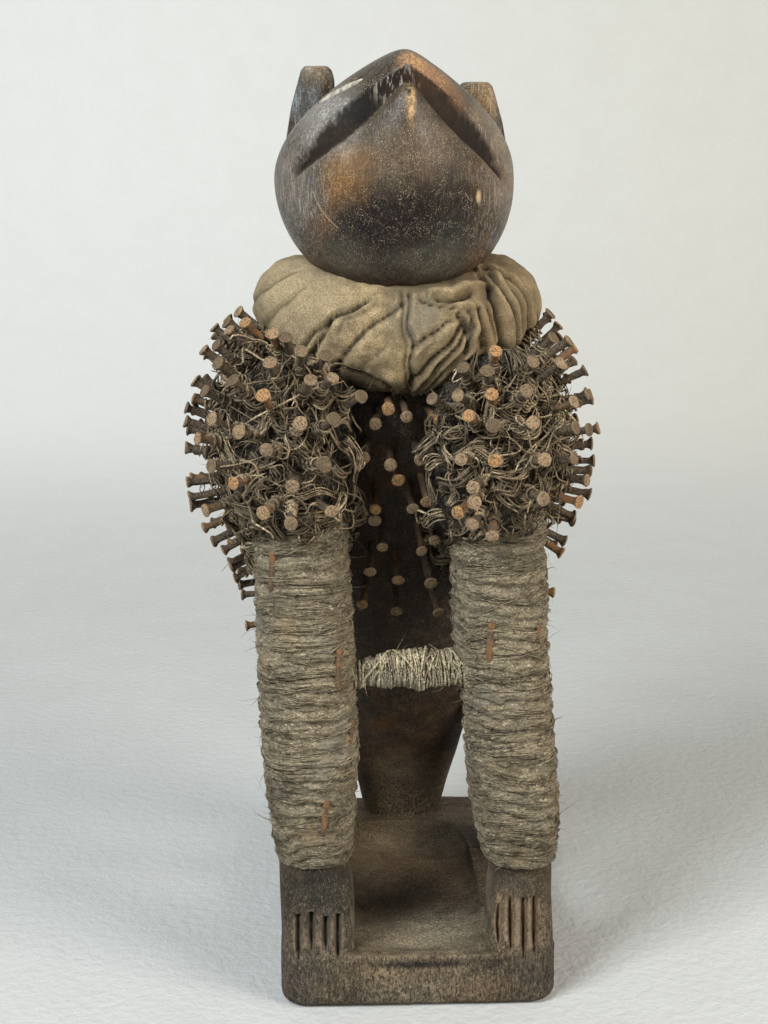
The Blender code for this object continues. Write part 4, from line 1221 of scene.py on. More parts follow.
def make_fibres(side, lines, rng):
    """Flat strips, strings, loops and frizz that fill the room between the nails."""
    steps = 12
    paths, radii, tones = [], [], []
    roots = np.array([root for root, _, _ in lines])
    ways = np.array([direction for _, direction, _ in lines])
    gaps = np.linalg.norm(roots[:, None] - roots[None], axis=-1)
    share = np.linspace(0, 1, steps)

    def add(path, thick, tone):
        paths.append(path)
        radii.append(thick * np.clip(np.minimum(share + 0.04, 1.04 - share) * 9, 0.25, 1))
        tones.append(np.clip(tone, 0, 1))

    def over_pad(reach, lift, wave):
        """A row of (turn, height, distance out) that wanders over the pad."""
        turn, height = rng.uniform(-1.1, 2.9), rng.uniform(0.204, 0.322)
        heading, long = rng.uniform(0, math.tau), rng.uniform(*reach)
        sway = wave * np.sin(share * rng.uniform(3, 9) + rng.uniform(0, 6))
        along = long * (share - 0.5)
        out = rng.uniform(-0.001, 0.002) + rng.uniform(*lift) * np.sin(math.pi * (0.15 + 0.7 * share)) \
            + rng.uniform(-0.002, 0.004) * share
        turns = turn + (np.cos(heading) * along - np.sin(heading) * sway) / 0.038
        heights = np.clip(height + np.sin(heading) * along + np.cos(heading) * sway, 0.198, 0.329)
        return turns, heights, out, heading

    def between_nails(lift_low, lift_high, overshoot, bow):
        first = rng.integers(len(lines))
        near = [k for k in np.argsort(gaps[first])[1:8] if gaps[first][k] < 0.030]
        second = near[rng.integers(len(near))] if near else first
        lift = rng.uniform(lift_low, lift_high, 2)
        a = roots[first] + ways[first] * lift[0] + 0.0026 * unit(rng.standard_normal(3))
        b = roots[second] + ways[second] * lift[1] + 0.0026 * unit(rng.standard_normal(3))
        place = (share * (1 + 2 * overshoot) - overshoot)[:, None]
        middle = unit(ways[first] + ways[second]) * rng.uniform(*bow) + 0.0022 * rng.standard_normal(3)
        bell = np.sin(math.pi * share)[:, None]
        curl = 0.0014 * rng.standard_normal(3) * np.sin(share * rng.uniform(6, 13))[:, None]
        return a + (b - a) * place + middle * bell + curl

    for _ in range(180):
        turns, heights, out, heading = over_pad((0.009, 0.026), (0.000, 0.011), 0.0018)
        tone, twist = rng.uniform(0.05, 0.62), rng.uniform(-1.2, 1.2)
        for strand in range(rng.integers(4, 8)):
            shift = 0.00088 * (strand - 3) * np.cos(twist * share)
            path = pad_surface(side, turns - math.sin(heading) * shift / 0.038, heights + math.cos(heading) * shift,
                               out + 0.00088 * (strand - 3) * np.sin(twist * share))
            stray = 0.0008 * rng.standard_normal(3) * np.sin(share * rng.uniform(2, 8))[:, None]
            add(path + stray + 0.0002 * rng.standard_normal(3), rng.uniform(0.00032, 0.00068),
                (tone + 0.13 * rng.standard_normal()) * np.clip(out.mean() / 0.0055, 0.12, 1.25))
    for _ in range(240):
        turns, heights, out, _ = over_pad((0.006, 0.022), (0.000, 0.010), 0.0030)
        add(pad_surface(side, turns, heights, out), rng.uniform(0.00022, 0.00060),
            rng.normal(0.45, 0.28) * np.clip(out.mean() / 0.005, 0.2, 1.3))
    for _ in range(300):
        add(between_nails(-0.001, 0.013, rng.uniform(0, 0.5), (-0.002, 0.004)), rng.uniform(0.00022, 0.00062),
            rng.normal(0.45, 0.26))
    for _ in range(10):
        pick = rng.integers(len(lines))
        across = unit(np.cross(ways[pick], rng.standard_normal(3)))
        up = np.cross(ways[pick], across)
        size = rng.uniform(0.0024, 0.0042)
        turn = (share * rng.uniform(4.5, 8.0) + rng.uniform(0, 6))[:, None]
        centre = roots[pick] + ways[pick] * rng.uniform(0.009, 0.017) + across * 0.004
        add(centre + (across * np.cos(turn) + (0.8 * up + 0.5 * ways[pick]) * np.sin(turn)) * size
            * (0.7 + 0.5 * share[:, None]), rng.uniform(0.00025, 0.00038), 0.95)
    for _ in range(300):
        pick = rng.integers(len(lines))
        start = roots[pick] + ways[pick] * rng.uniform(-0.001, 0.013) + 0.003 * unit(rng.standard_normal(3))
        long = rng.uniform(0.004, 0.011)
        bend = rng.standard_normal((3, 3))
        along = share[:, None]
        add(start + long * (unit(ways[pick] * 0.5 + bend[0]) * along + 0.4 * bend[1] * along ** 2
                            + 0.3 * bend[2] * along ** 3), rng.uniform(0.00010, 0.00020), rng.uniform(0.1, 0.9))
    return strands(SIDE_NAMES[side] + "_fibre", paths, radii, tones)


def make_wraps(side, lines, rng):
    """Fibre wound round the shanks of most nails."""
    steps = 46
    paths, radii, tones = [], [], []
    share = np.linspace(0, 1, steps)
    for root, direction, out in lines:
        if rng.random() > 0.9:
            continue
        across = unit(np.cross(direction, ODD_WAY))
        up = np.cross(direction, across)
        turn = share * math.tau * rng.uniform(4.5, 6.5) + rng.uniform(0, 6)
        along = out * (rng.uniform(0.02, 0.1) + rng.uniform(0.4, 0.72) * share) + 0.0004 * np.sin(share * 19)
        around = rng.uniform(0.0022, 0.0031) * (1 + 0.13 * np.sin(share * 23 + rng.uniform(0, 6)))
        around = around * (1.12 - 0.25 * share)
        paths.append(root + direction * along[:, None]
                     + (across * np.cos(turn)[:, None] + up * np.sin(turn)[:, None]) * around[:, None])
        radii.append(rng.uniform(0.00050, 0.00100) * (1 + 0.25 * rng.standard_normal(steps)).clip(0.5, 1.5))
        tones.append(np.clip(rng.normal(0.35, 0.2), 0, 1))
    return strands(SIDE_NAMES[side] + "_wraps", paths, radii, tones)


class FIGURE_OT_shoulders(bpy.types.Operator):
    """Pack the shoulders with fibre and pitch, and drive the nails"""
    bl_idname = "figure.nail_shoulders"
    bl_label = "Nail Shoulders"

    def execute(self, context):
        sizes = context.scene.figure_nails
        pitch = pitch_material()
        iron = iron_material(sizes)
        fibre = fibre_material(sizes)
        for side in (LEFT, RIGHT):
            rng = np.random.default_rng(100 + side)
            lines = shoulder_lines(side, sizes, rng)
            driven = nails(SIDE_NAMES[side] + "_nails", lines, sizes, rng)
            pad = make_pad(side)
            loose = make_fibres(side, lines, rng)
            wraps = make_wraps(side, lines, rng)
            driven.data.materials.append(iron)
            pad.data.materials.append(pitch)
            loose.data.materials.append(fibre)
            wraps.data.materials.append(fibre)
            finish(pad, "rusted_nails", SIDE_NAMES[side] + "_shoulder_nails")
            finish(driven, "rusted_nails")
            finish(loose, "twine")
            finish(wraps, "twine")
        return {"FINISHED"}


class FIGURE_OT_chest(bpy.types.Operator):
    """Drive the nails into the chest"""
    bl_idname = "figure.nail_chest"
    bl_label = "Nail Chest"

    def execute(self, context):
        sizes = context.scene.figure_nails
        rng = np.random.default_rng(9)
        lines = []
        for across, height in CHEST_NAILS:
            point, outward = chest_nail_line(across / 1000, height / 1000)
            lines.append((np.array(point), np.array(outward), CHEST_NAIL_OUT))
        driven = nails("chest_nails", lines, sizes, rng, 0.6)
        driven.data.materials.append(iron_material(sizes))
        finish(driven, "rusted_nails", *CHEST_NAIL_NODES)
        return {"FINISHED"}


# Materials

class Sketch:
    """Adds nodes to one node tree, feeding each socket from a value or another socket."""

    def __init__(self, tree):
        self.tree = tree

    def feed(self, socket, value):
        if isinstance(value, bpy.types.NodeSocket):
            self.tree.links.new(value, socket)
        elif value is not None:
            socket.default_value = value

    def add(self, kind, inputs=(), **settings):
        made = self.tree.nodes.new(kind)
        for name, value in settings.items():
            setattr(made, name, value)
        pairs = inputs.items() if isinstance(inputs, dict) else enumerate(inputs)
        for key, value in pairs:
            self.feed(made.inputs[key], value)
        return made

    def place(self):
        return self.add("ShaderNodeTexCoord").outputs["Object"]

    def axes(self, vector):
        """The three numbers of a vector, by the names X, Y and Z."""
        return self.add("ShaderNodeSeparateXYZ", (vector,)).outputs

    def maths(self, operation, *values):
        return self.add("ShaderNodeMath", values, operation=operation).outputs[0]

    def times(self, *values):
        return self.maths("MULTIPLY", *values)

    def plus(self, *values):
        return self.maths("ADD", *values)

    def minus(self, *values):
        return self.maths("SUBTRACT", *values)

    def vector(self, operation, *values):
        made = self.add("ShaderNodeVectorMath", values, operation=operation)
        return made.outputs["Value" if operation in ("LENGTH", "DISTANCE", "DOT_PRODUCT") else "Vector"]

    def noise(self, where, scale, detail=3.0, roughness=0.55, distortion=0.0):
        values = {"Vector": where, "Scale": scale, "Detail": detail, "Roughness": roughness,
                  "Distortion": distortion}
        return self.add("ShaderNodeTexNoise", values).outputs["Fac"]

    def span(self, value, low, high, to_low=0.0, to_high=1.0):
        """Maps low..high to to_low..to_high with soft ends."""
        values = {"Value": value, "From Min": low, "From Max": high, "To Min": to_low, "To Max": to_high}
        return self.add("ShaderNodeMapRange", values, interpolation_type="SMOOTHSTEP").outputs["Result"]

    def blend(self, factor, first, second, kind="MIX"):
        made = self.add("ShaderNodeMix", (), data_type="RGBA", blend_type=kind, clamp_factor=True)
        self.feed(made.inputs[0], factor)
        for socket, value in ((made.inputs[6], first), (made.inputs[7], second)):
            self.feed(socket, (*value, 1.0) if isinstance(value, (tuple, list)) and len(value) == 3 else value)
        return made.outputs[2]

    def lay(self, under, over, mask, strength):
        """Lays one colour over another where the mask is, no stronger than given."""
        return self.blend(self.times(mask, strength), under, over)

    def bump(self, height, distance, strength=1.0, normal=None):
        values = {"Height": height, "Distance": distance, "Strength": strength, "Normal": normal}
        return self.add("ShaderNodeBump", values).outputs["Normal"]

    def use(self, group, **values):
        made = self.tree.nodes.new("ShaderNodeGroup")
        made.node_tree = group
        for name, value in values.items():
            self.feed(made.inputs[name], value)
        return made.outputs


def shader_group(name, inputs, outputs, fill):
    """A node group with named sockets, made once."""
    if name in bpy.data.node_groups:
        return bpy.data.node_groups[name]
    group = bpy.data.node_groups.new(name, "ShaderNodeTree")
    for label, kind, default in inputs:
        socket = group.interface.new_socket(label, in_out="INPUT", socket_type="NodeSocket" + kind)
        socket.default_value = default
    for label, kind in outputs:
        group.interface.new_socket(label, in_out="OUTPUT", socket_type="NodeSocket" + kind)
    sketch = Sketch(group)
    given = sketch.add("NodeGroupInput").outputs
    out = sketch.add("NodeGroupOutput")
    for label, socket in fill(sketch, given).items():
        sketch.feed(out.inputs[label], socket)
    return group


def streaks_group():
    """Long soft streaks, for wood grain, twine and fibre."""
    def fill(sketch, given):
        where = sketch.vector("MULTIPLY", sketch.place(), given["Stretch"])
        coarse = sketch.noise(where, given["Scale"], 4.0, 0.6, 0.4)
        fine = sketch.noise(where, sketch.times(given["Scale"], 3.7), 3.0, 0.6)
        both = sketch.plus(sketch.times(coarse, 0.62), sketch.times(fine, 0.38))
        return {"Streaks": sketch.span(both, 0.34, 0.66), "Height": both}
    return shader_group("streaks", (("Stretch", "Vector", (1, 1, 0.1)), ("Scale", "Float", 300.0)),
                        (("Streaks", "Float"), ("Height", "Float")), fill)


def dust_group():
    """Dust that lies on what faces up, broken by noise."""
    def fill(sketch, given):
        normal = sketch.add("ShaderNodeNewGeometry").outputs["Normal"]
        up = sketch.axes(normal)["Z"]
        cloud = sketch.noise(sketch.place(), given["Scale"], 5.0, 0.65)
        level = sketch.plus(sketch.times(up, given["Upward"]), cloud)
        level = sketch.plus(level, given["Amount"])
        return {"Mask": sketch.span(level, 0.62, 1.05)}
    return shader_group("settled_dust",
                        (("Scale", "Float", 60.0), ("Upward", "Float", 0.35), ("Amount", "Float", 0.0)),
                        (("Mask", "Float"),), fill)


def patch_group():
    """A ragged round patch at a place."""
    def fill(sketch, given):
        where = sketch.place()
        away = sketch.vector("SUBTRACT", where, given["Centre"])
        gap = sketch.vector("LENGTH", sketch.vector("MULTIPLY", away, given["Squeeze"]))
        ragged = sketch.noise(where, 90.0, 4.0, 0.6)
        level = sketch.maths("DIVIDE", gap, given["Radius"])
        level = sketch.plus(level, sketch.times(sketch.minus(ragged, 0.5), 1.1))
        return {"Mask": sketch.span(level, 1.15, 0.25)}
    return shader_group("colour_patch", (("Centre", "Vector", (0, 0, 0)), ("Radius", "Float", 0.01),
                                        ("Squeeze", "Vector", (1, 1, 1))),
                        (("Mask", "Float"),), fill)


def patch_mask(sketch, centre, radius, squeeze):
    """The mask of one patch, for real stains and for painted sheen, highlight and shadow."""
    return sketch.use(patch_group(), Centre=centre, Radius=radius, Squeeze=squeeze)["Mask"]


def specks_group():
    """Small round specks, thinned out by noise."""
    def fill(sketch, given):
        where = sketch.place()
        values = {"Vector": where, "Scale": given["Scale"], "Randomness": 1.0}
        cells = sketch.add("ShaderNodeTexVoronoi", values)
        near = sketch.span(cells.outputs["Distance"], 0.32, 0.16)
        kept = sketch.span(sketch.noise(where, sketch.times(given["Scale"], 0.11), 4.0, 0.7),
                           given["Thin"], sketch.plus(given["Thin"], 0.14))
        return {"Mask": sketch.times(near, kept)}
    return shader_group("pale_specks", (("Scale", "Float", 900.0), ("Thin", "Float", 0.5)),
                        (("Mask", "Float"),), fill)


def flecks_group():
    """Fine pale flecks, gathered in clouds."""
    def fill(sketch, given):
        where = sketch.place()
        fine = sketch.noise(where, given["Scale"], 1.0, 0.6)
        cloud = sketch.noise(where, sketch.times(given["Scale"], 0.05), 4.0, 0.65)
        level = sketch.plus(fine, sketch.times(sketch.minus(cloud, 0.5), given["Cloud"]))
        return {"Mask": sketch.span(level, sketch.minus(0.63, given["Amount"]),
                                    sketch.minus(0.70, given["Amount"]))}
    return shader_group("fine_flecks",
                        (("Scale", "Float", 1500.0), ("Amount", "Float", 0.05), ("Cloud", "Float", 0.5)),
                        (("Mask", "Float"),), fill)


def edges_group():
    """Where edges stand proud and are rubbed, and where the surface is hollow and the materials darken it."""
    def fill(sketch, given):
        sharp = sketch.add("ShaderNodeNewGeometry").outputs["Pointiness"]
        broken = sketch.noise(sketch.place(), 260.0, 4.0, 0.6)
        rough = sketch.times(sketch.minus(broken, 0.5), 0.05)
        level = sketch.plus(sharp, rough)
        return {"Rubbed": sketch.span(level, given["Edge"], sketch.plus(given["Edge"], 0.045)),
                "Concave": sketch.span(level, given["Hollow"], sketch.minus(given["Hollow"], 0.05))}
    return shader_group("worn_edges", (("Edge", "Float", 0.53), ("Hollow", "Float", 0.47)),
                        (("Rubbed", "Float"), ("Concave", "Float")), fill)


def scratch_group():
    """A thin curved scratch: part of a circle that faces front."""
    def fill(sketch, given):
        flat = sketch.vector("MULTIPLY", sketch.vector("SUBTRACT", sketch.place(), given["Centre"]), (1, 0, 1))
        off = sketch.maths("ABSOLUTE", sketch.minus(sketch.vector("LENGTH", flat), given["Radius"]))
        near = sketch.vector("DISTANCE", sketch.place(), given["Middle"])
        return {"Mask": sketch.times(sketch.span(off, 0.00032, 0.00006),
                                     sketch.span(near, given["Reach"], sketch.times(given["Reach"], 0.8)))}
    return shader_group("curved_scratch", (("Centre", "Vector", (0, 0, 0)), ("Radius", "Float", 0.03),
                                           ("Middle", "Vector", (0, 0, 0)), ("Reach", "Float", 0.01)),
                        (("Mask", "Float"),), fill)


def new_material(name, **settings):
    made = bpy.data.materials.new(name)
    made.use_nodes = True
    shader = made.node_tree.nodes["Principled BSDF"]
    for label, value in settings.items():
        shader.inputs[label.replace("_", " ")].default_value = value
    return made, Sketch(made.node_tree), shader


def shade(colour, factor):
    return tuple(min(1.0, channel * factor) for channel in colour)


def attribute(sketch, name):
    """A number that the mesh keeps for each of its points."""
    return sketch.add("ShaderNodeAttribute", attribute_name=name).outputs["Fac"]


WOOD_PATCHES = (
    # centre, radius, squeeze, colour, strength, broken up by flecks
    ((-0.004, -0.103, 0.413), 0.026, (0.8, 0.5, 1.0), (0.125, 0.090, 0.056), 0.80, True),
    ((-0.014, -0.100, 0.383), 0.031, (0.8, 0.5, 1.25), (0.007, 0.004, 0.004), 0.97, False),
    ((0.007, -0.098, 0.389), 0.023, (0.8, 0.5, 1.0), (0.008, 0.005, 0.004), 0.92, False),
    ((0.016, -0.094, 0.400), 0.014, (0.8, 0.5, 1.0), (0.018, 0.012, 0.009), 0.70, True),
    ((-0.036, -0.094, 0.4045), 0.0145, (1.0, 0.5, 0.85), (0.235, 0.115, 0.036), 0.92, True),
    ((-0.026, -0.098, 0.4100), 0.0120, (1.0, 0.5, 1.0), (0.150, 0.085, 0.036), 0.65, True),
    ((-0.046, -0.082, 0.3846), 0.010, (1.0, 0.5, 1.0), (0.150, 0.078, 0.038), 0.55, True),
    # Worn orange on the snout's ridge, made lighter and greyer in part as a painted highlight
    ((-0.001, -0.092, 0.4530), 0.0095, (0.7, 0.6, 1.0), (0.450, 0.250, 0.118), 0.90, True),
    ((0.009, -0.084, 0.4480), 0.0095, (0.8, 0.6, 1.0), (0.390, 0.200, 0.088), 0.85, True),
    ((0.0165, -0.079, 0.4400), 0.0085, (0.9, 0.6, 0.9), (0.240, 0.110, 0.045), 0.75, True),
    ((-0.0058, -0.1034, 0.4365), 0.0056, (1.8, 0.5, 0.42), (0.480, 0.300, 0.140), 0.85, True),
    ((0.0129, -0.0904, 0.3770), 0.0150, (1.0, 0.5, 1.0), (0.022, 0.030, 0.028), 0.80, True),
    ((0.0036, -0.0886, 0.3667), 0.0150, (0.6, 0.5, 1.2), (0.085, 0.082, 0.062), 0.75, True),
    ((-0.0327, -0.0841, 0.3679), 0.0120, (0.7, 0.5, 1.0), (0.100, 0.092, 0.068), 0.70, True),
    ((0.0265, -0.0841, 0.3960), 0.0022, (1.3, 0.5, 0.6), (0.420, 0.320, 0.190), 0.95, False),
    # The next four rows are painted sheen: grey on the left of the muzzle and cheek, warm tan on the right
    ((-0.0420, -0.0784, 0.4310), 0.0210, (1.0, 0.5, 1.0), (0.340, 0.330, 0.310), 0.80, True),
    ((0.0330, -0.0700, 0.4270), 0.0180, (1.0, 0.5, 1.0), (0.240, 0.185, 0.130), 0.70, True),
    ((-0.0540, -0.0640, 0.4010), 0.0180, (1.0, 0.5, 0.8), (0.180, 0.165, 0.148), 0.65, True),
    ((0.0430, -0.0660, 0.4060), 0.0190, (1.0, 0.5, 0.8), (0.280, 0.205, 0.145), 0.65, True),
    ((-0.0500, -0.0160, 0.4560), 0.0100, (1.0, 0.5, 1.0), (0.280, 0.230, 0.160), 0.80, True),
    # Painted highlight: bluish grey on the front of the left ear
    ((-0.0540, -0.0200, 0.4420), 0.0100, (1.0, 0.5, 0.8), (0.170, 0.200, 0.215), 0.70, True),
    ((0.0360, -0.0160, 0.4440), 0.0140, (1.0, 0.5, 1.0), (0.280, 0.180, 0.085), 0.85, True),
    ((-0.0120, 0.0160, 0.0240), 0.0480, (1.0, 0.7, 0.5), (0.105, 0.055, 0.019), 0.95, True),
    ((0.0020, -0.0720, 0.0240), 0.0350, (0.75, 0.9, 0.5), (0.580, 0.490, 0.340), 0.90, True),
    ((-0.0060, 0.0560, 0.0260), 0.0300, (0.7, 1.1, 0.5), (0.270, 0.200, 0.120), 0.75, True),
    ((0.0160, 0.0450, 0.0260), 0.0240, (1.0, 0.8, 0.5), (0.012, 0.010, 0.007), 0.85, False),
    ((-0.0240, -0.0260, 0.0240), 0.0250, (1.0, 0.7, 0.5), (0.018, 0.010, 0.005), 0.80, True),
    ((0.0060, -0.0150, 0.0240), 0.0190, (1.0, 0.7, 0.5), (0.014, 0.010, 0.006), 0.75, False),
    ((-0.0500, -0.1000, 0.0590), 0.0200, (0.8, 0.5, 0.9), (0.016, 0.015, 0.013), 0.92, False),
    ((0.0520, -0.1000, 0.0640), 0.0150, (0.8, 0.5, 1.0), (0.030, 0.023, 0.015), 0.88, True),
    ((-0.0490, -0.1010, 0.0340), 0.0170, (0.8, 0.5, 0.9), (0.250, 0.215, 0.155), 0.55, True),
    ((0.0500, -0.1010, 0.0400), 0.0170, (0.8, 0.5, 0.9), (0.330, 0.240, 0.150), 0.60, True),
    ((0.0300, -0.1020, 0.0080), 0.0200, (0.8, 0.5, 1.5), (0.250, 0.160, 0.085), 0.50, True),
    ((-0.0100, -0.1020, 0.0210), 0.0160, (0.4, 0.5, 1.4), (0.260, 0.185, 0.100), 0.60, True),
    ((-0.0600, -0.1000, 0.0120), 0.0190, (1.0, 0.5, 1.0), (0.060, 0.060, 0.058), 0.60, True),
    ((0.0600, -0.1000, 0.0160), 0.0190, (1.0, 0.5, 1.0), (0.060, 0.058, 0.052), 0.60, True),
    # Painted shadow: a dark line under the front rim of the base
    ((0.0020, -0.1025, 0.0236), 0.0110, (0.34, 0.5, 3.4), (0.010, 0.009, 0.008), 0.95, False),
)


def wood_material(sizes):
    made, sketch, shader = new_material("carved_wood", Specular_IOR_Level=0.16)
    where = sketch.place()
    wood, worn, dust = tuple(sizes.colour), tuple(sizes.worn), tuple(sizes.dust)
    apart = sketch.axes(where)
    height = apart["Z"]
    normal = sketch.add("ShaderNodeNewGeometry").outputs["Normal"]
    up = sketch.axes(normal)["Z"]
    head = sketch.span(height, 0.352, 0.372)
    base = sketch.span(height, 0.085, 0.040)
    upright = sketch.use(streaks_group(), Stretch=(1.0, 1.0, 0.16), Scale=520.0)
    level = sketch.use(streaks_group(), Stretch=(0.10, 1.0, 1.0), Scale=560.0)
    flecks = sketch.use(flecks_group(), Scale=2300.0, Amount=0.03, Cloud=0.60)["Mask"]
    pitted = sketch.noise(sketch.vector("MULTIPLY", where, (1.0, 1.0, 0.40)), 950.0, 5.0, 0.75)
    grains = sketch.use(flecks_group(), Scale=800.0, Amount=0.08, Cloud=0.7)["Mask"]
    specks = sketch.use(specks_group(), Scale=1300.0, Thin=0.44)["Mask"]
    edges = sketch.use(edges_group(), Edge=0.525, Hollow=0.468)
    lying = sketch.use(dust_group(), Scale=70.0, Upward=0.42, Amount=-0.06)["Mask"]
    mottled = sketch.noise(where, 42.0, 5.0, 0.62)

    colour = sketch.blend(upright["Streaks"], shade(wood, 0.50), shade(wood, 1.5))
    warm = sketch.times(sketch.span(mottled, 0.48, 0.72), 0.6)
    colour = sketch.blend(warm, colour, shade(worn, 0.22))
    base_tone = sketch.blend(upright["Streaks"], (0.036, 0.027, 0.017), (0.110, 0.084, 0.053))
    base_tone = sketch.lay(base_tone, (0.210, 0.165, 0.105), grains, 0.50)
    cloudy = sketch.noise(where, 60.0, 5.0, 0.7)
    base_tone = sketch.lay(base_tone, (0.028, 0.024, 0.018), sketch.span(cloudy, 0.55, 0.38), 0.65)
    flat = sketch.times(sketch.span(up, 0.6, 0.9), base)
    floor_tone = sketch.blend(level["Streaks"], (0.007, 0.005, 0.003), (0.115, 0.078, 0.042))
    base_tone = sketch.blend(flat, base_tone, floor_tone)
    colour = sketch.lay(colour, base_tone, base, 0.92)
    for centre, radius, squeeze, tone, strength, broken in WOOD_PATCHES:
        mask = patch_mask(sketch, centre, radius, squeeze)
        if broken:
            mask = sketch.times(mask, sketch.span(grains, 0, 1, 0.45, 1.0))
        colour = sketch.lay(colour, tone, mask, strength)
    pits = sketch.times(sketch.span(pitted, 0.50, 0.43), sketch.times(base, sketch.span(flat, 0, 1, 0.8, 0.6)))
    colour = sketch.blend(pits, colour, (0.012, 0.010, 0.009))
    raised = sketch.times(sketch.span(pitted, 0.56, 0.64), sketch.times(base, 0.7))
    colour = sketch.blend(raised, colour, (0.270, 0.215, 0.142))
    beside = sketch.span(sketch.maths("ABSOLUTE", sketch.minus(apart["X"], LEAN)), 0.026, 0.044, 0.10, 0.6)
    hairline = sketch.noise(sketch.vector("MULTIPLY", where, (1.0, 1.0, 0.05)), 1500.0, 2.0, 0.6)
    lines = sketch.times(sketch.span(hairline, 0.52, 0.70), sketch.times(head, beside))
    colour = sketch.blend(lines, colour, (0.300, 0.275, 0.240))
    dimmer = patch_mask(sketch, (-0.012, -0.100, 0.381), 0.034, (0.7, 0.5, 1.2))
    amount = sketch.times(sketch.span(head, 0, 1, 0.42, 0.58), sketch.span(dimmer, 0, 1, 1.0, 0.20))
    colour = sketch.lay(colour, shade(dust, 1.1), flecks, amount)
    colour = sketch.lay(colour, shade(dust, 1.9), specks, sketch.span(head, 0, 1, 0.35, 0.8))
    under = attribute(sketch, "undercut")
    bed = attribute(sketch, "lip_bed")
    # Painted shade: the undercut wall of the mouth's notch is laid nearly black
    shadowed = sketch.blend(sketch.span(mottled, 0.42, 0.62), (0.005, 0.003, 0.002), (0.024, 0.012, 0.006))
    colour = sketch.lay(colour, shadowed, under, 0.92)
    chisel = sketch.noise(sketch.vector("MULTIPLY", where, (1.0, 0.3, 0.30)), 620.0, 3.0, 0.6)
    apex = patch_mask(sketch, (-0.016, -0.096, 0.447), 0.012, (0.8, 0.6, 1.0))
    marks = sketch.times(sketch.times(sketch.span(chisel, 0.50, 0.66), apex), under)
    colour = sketch.lay(colour, (0.340, 0.290, 0.240), marks, 0.75)
    dusty_bed = sketch.blend(grains, (0.050, 0.036, 0.020), (0.150, 0.115, 0.070))
    colour = sketch.lay(colour, dusty_bed, bed, 0.85)
    groove = attribute(sketch, "toe_groove")
    inside = sketch.blend(sketch.span(apart["X"], -0.01, 0.01), (0.270, 0.235, 0.175), (0.440, 0.280, 0.155))
    inside = sketch.blend(upright["Streaks"], (0.030, 0.020, 0.012), inside)
    colour = sketch.lay(colour, inside, groove, 0.85)
    for centre, radius, middle, reach in (((-0.020, 0, 0.4065), 0.0305, (-0.0445, -0.085, 0.390), 0.0125),
                                          ((0.060, 0, 0.4200), 0.0460, (0.0200, -0.085, 0.398), 0.0060)):
        cut_line = sketch.use(scratch_group(), Centre=centre, Radius=radius, Middle=middle, Reach=reach)["Mask"]
        colour = sketch.lay(colour, (0.360, 0.230, 0.130), cut_line, 0.7)
    dusty = sketch.times(lying, sketch.span(base, 0, 1, 0.25, 0.22))
    colour = sketch.lay(colour, dust, dusty, 0.6)
    colour = sketch.lay(colour, (0.300, 0.225, 0.150), edges["Rubbed"], 0.55)
    colour = sketch.lay(colour, (0.012, 0.009, 0.006), edges["Concave"], 0.6)
    sketch.feed(shader.inputs["Base Color"], colour)
    rough = sketch.span(head, 0, 1, 0.66, 0.32)
    rough = sketch.plus(rough, sketch.times(sketch.minus(mottled, 0.5), 0.4))
    rough = sketch.plus(rough, sketch.times(sketch.plus(dusty, under), 0.35))
    sketch.feed(shader.inputs["Roughness"], sketch.plus(rough, sketch.times(flecks, 0.2)))
    relief = sketch.plus(sketch.times(upright["Height"], 0.9), sketch.times(flecks, 0.25))
    relief = sketch.plus(relief, sketch.times(sketch.times(level["Height"], flat), 1.2))
    relief = sketch.plus(relief, sketch.times(sketch.times(grains, base), 0.4))
    relief = sketch.plus(relief, sketch.times(sketch.times(pitted, base), 1.6))
    strength = sketch.span(head, 0, 1, 1.0, 0.42)
    sketch.feed(shader.inputs["Normal"], sketch.bump(sketch.times(relief, strength), 0.0010))
    return made


def inlay_material():
    made, sketch, shader = new_material("pale_inlay", Roughness=0.4)
    cloud = sketch.noise(sketch.place(), 400.0, 4.0, 0.6)
    sketch.feed(shader.inputs["Base Color"], sketch.blend(sketch.span(cloud, 0.35, 0.65), (0.20, 0.175, 0.13),
                                                          (0.42, 0.39, 0.31)))
    sketch.feed(shader.inputs["Normal"], sketch.bump(cloud, 0.0003))
    return made


def twine_material(name, colour):
    made, sketch, shader = new_material(name, Roughness=0.9, Specular_IOR_Level=0.2)
    where = sketch.place()
    colour = tuple(colour)
    fine = sketch.use(streaks_group(), Stretch=(0.3, 0.3, 1.0), Scale=1500.0)
    matted = sketch.noise(sketch.vector("MULTIPLY", where, (0.5, 0.5, 1.0)), 620.0, 4.0, 0.65, 2.2)
    cloud = sketch.noise(where, 75.0, 5.0, 0.65)
    tint = sketch.noise(where, 45.0, 4.0, 0.65)
    tone = attribute(sketch, "tone")
    base = sketch.blend(tone, shade(colour, 0.10), shade(colour, 1.35))
    base = sketch.lay(base, shade(colour, 0.10), sketch.span(matted, 0.50, 0.38), 0.9)
    base = sketch.lay(base, shade(colour, 2.1), sketch.span(matted, 0.56, 0.66), 0.85)
    base = sketch.lay(base, shade(colour, 0.55), fine["Streaks"], 0.45)
    base = sketch.lay(base, (0.320, 0.215, 0.110), sketch.span(tint, 0.56, 0.74), 0.45)
    base = sketch.lay(base, (0.190, 0.190, 0.165), sketch.span(tint, 0.46, 0.3), 0.5)
    # Painted shade: the twine darkens towards the bottom of the legs, most in the dark clouds
    low = sketch.span(sketch.axes(where)["Z"], 0.130, 0.075, 0.35, 0.9)
    shaded = sketch.times(sketch.span(cloud, 0.52, 0.34), low)
    base = sketch.lay(base, shade(colour, 0.15), low, 0.32)
    sketch.feed(shader.inputs["Base Color"], sketch.blend(shaded, base, shade(colour, 0.20)))
    relief = sketch.plus(fine["Height"], matted)
    sketch.feed(shader.inputs["Normal"], sketch.bump(relief, 0.0010))
    return made


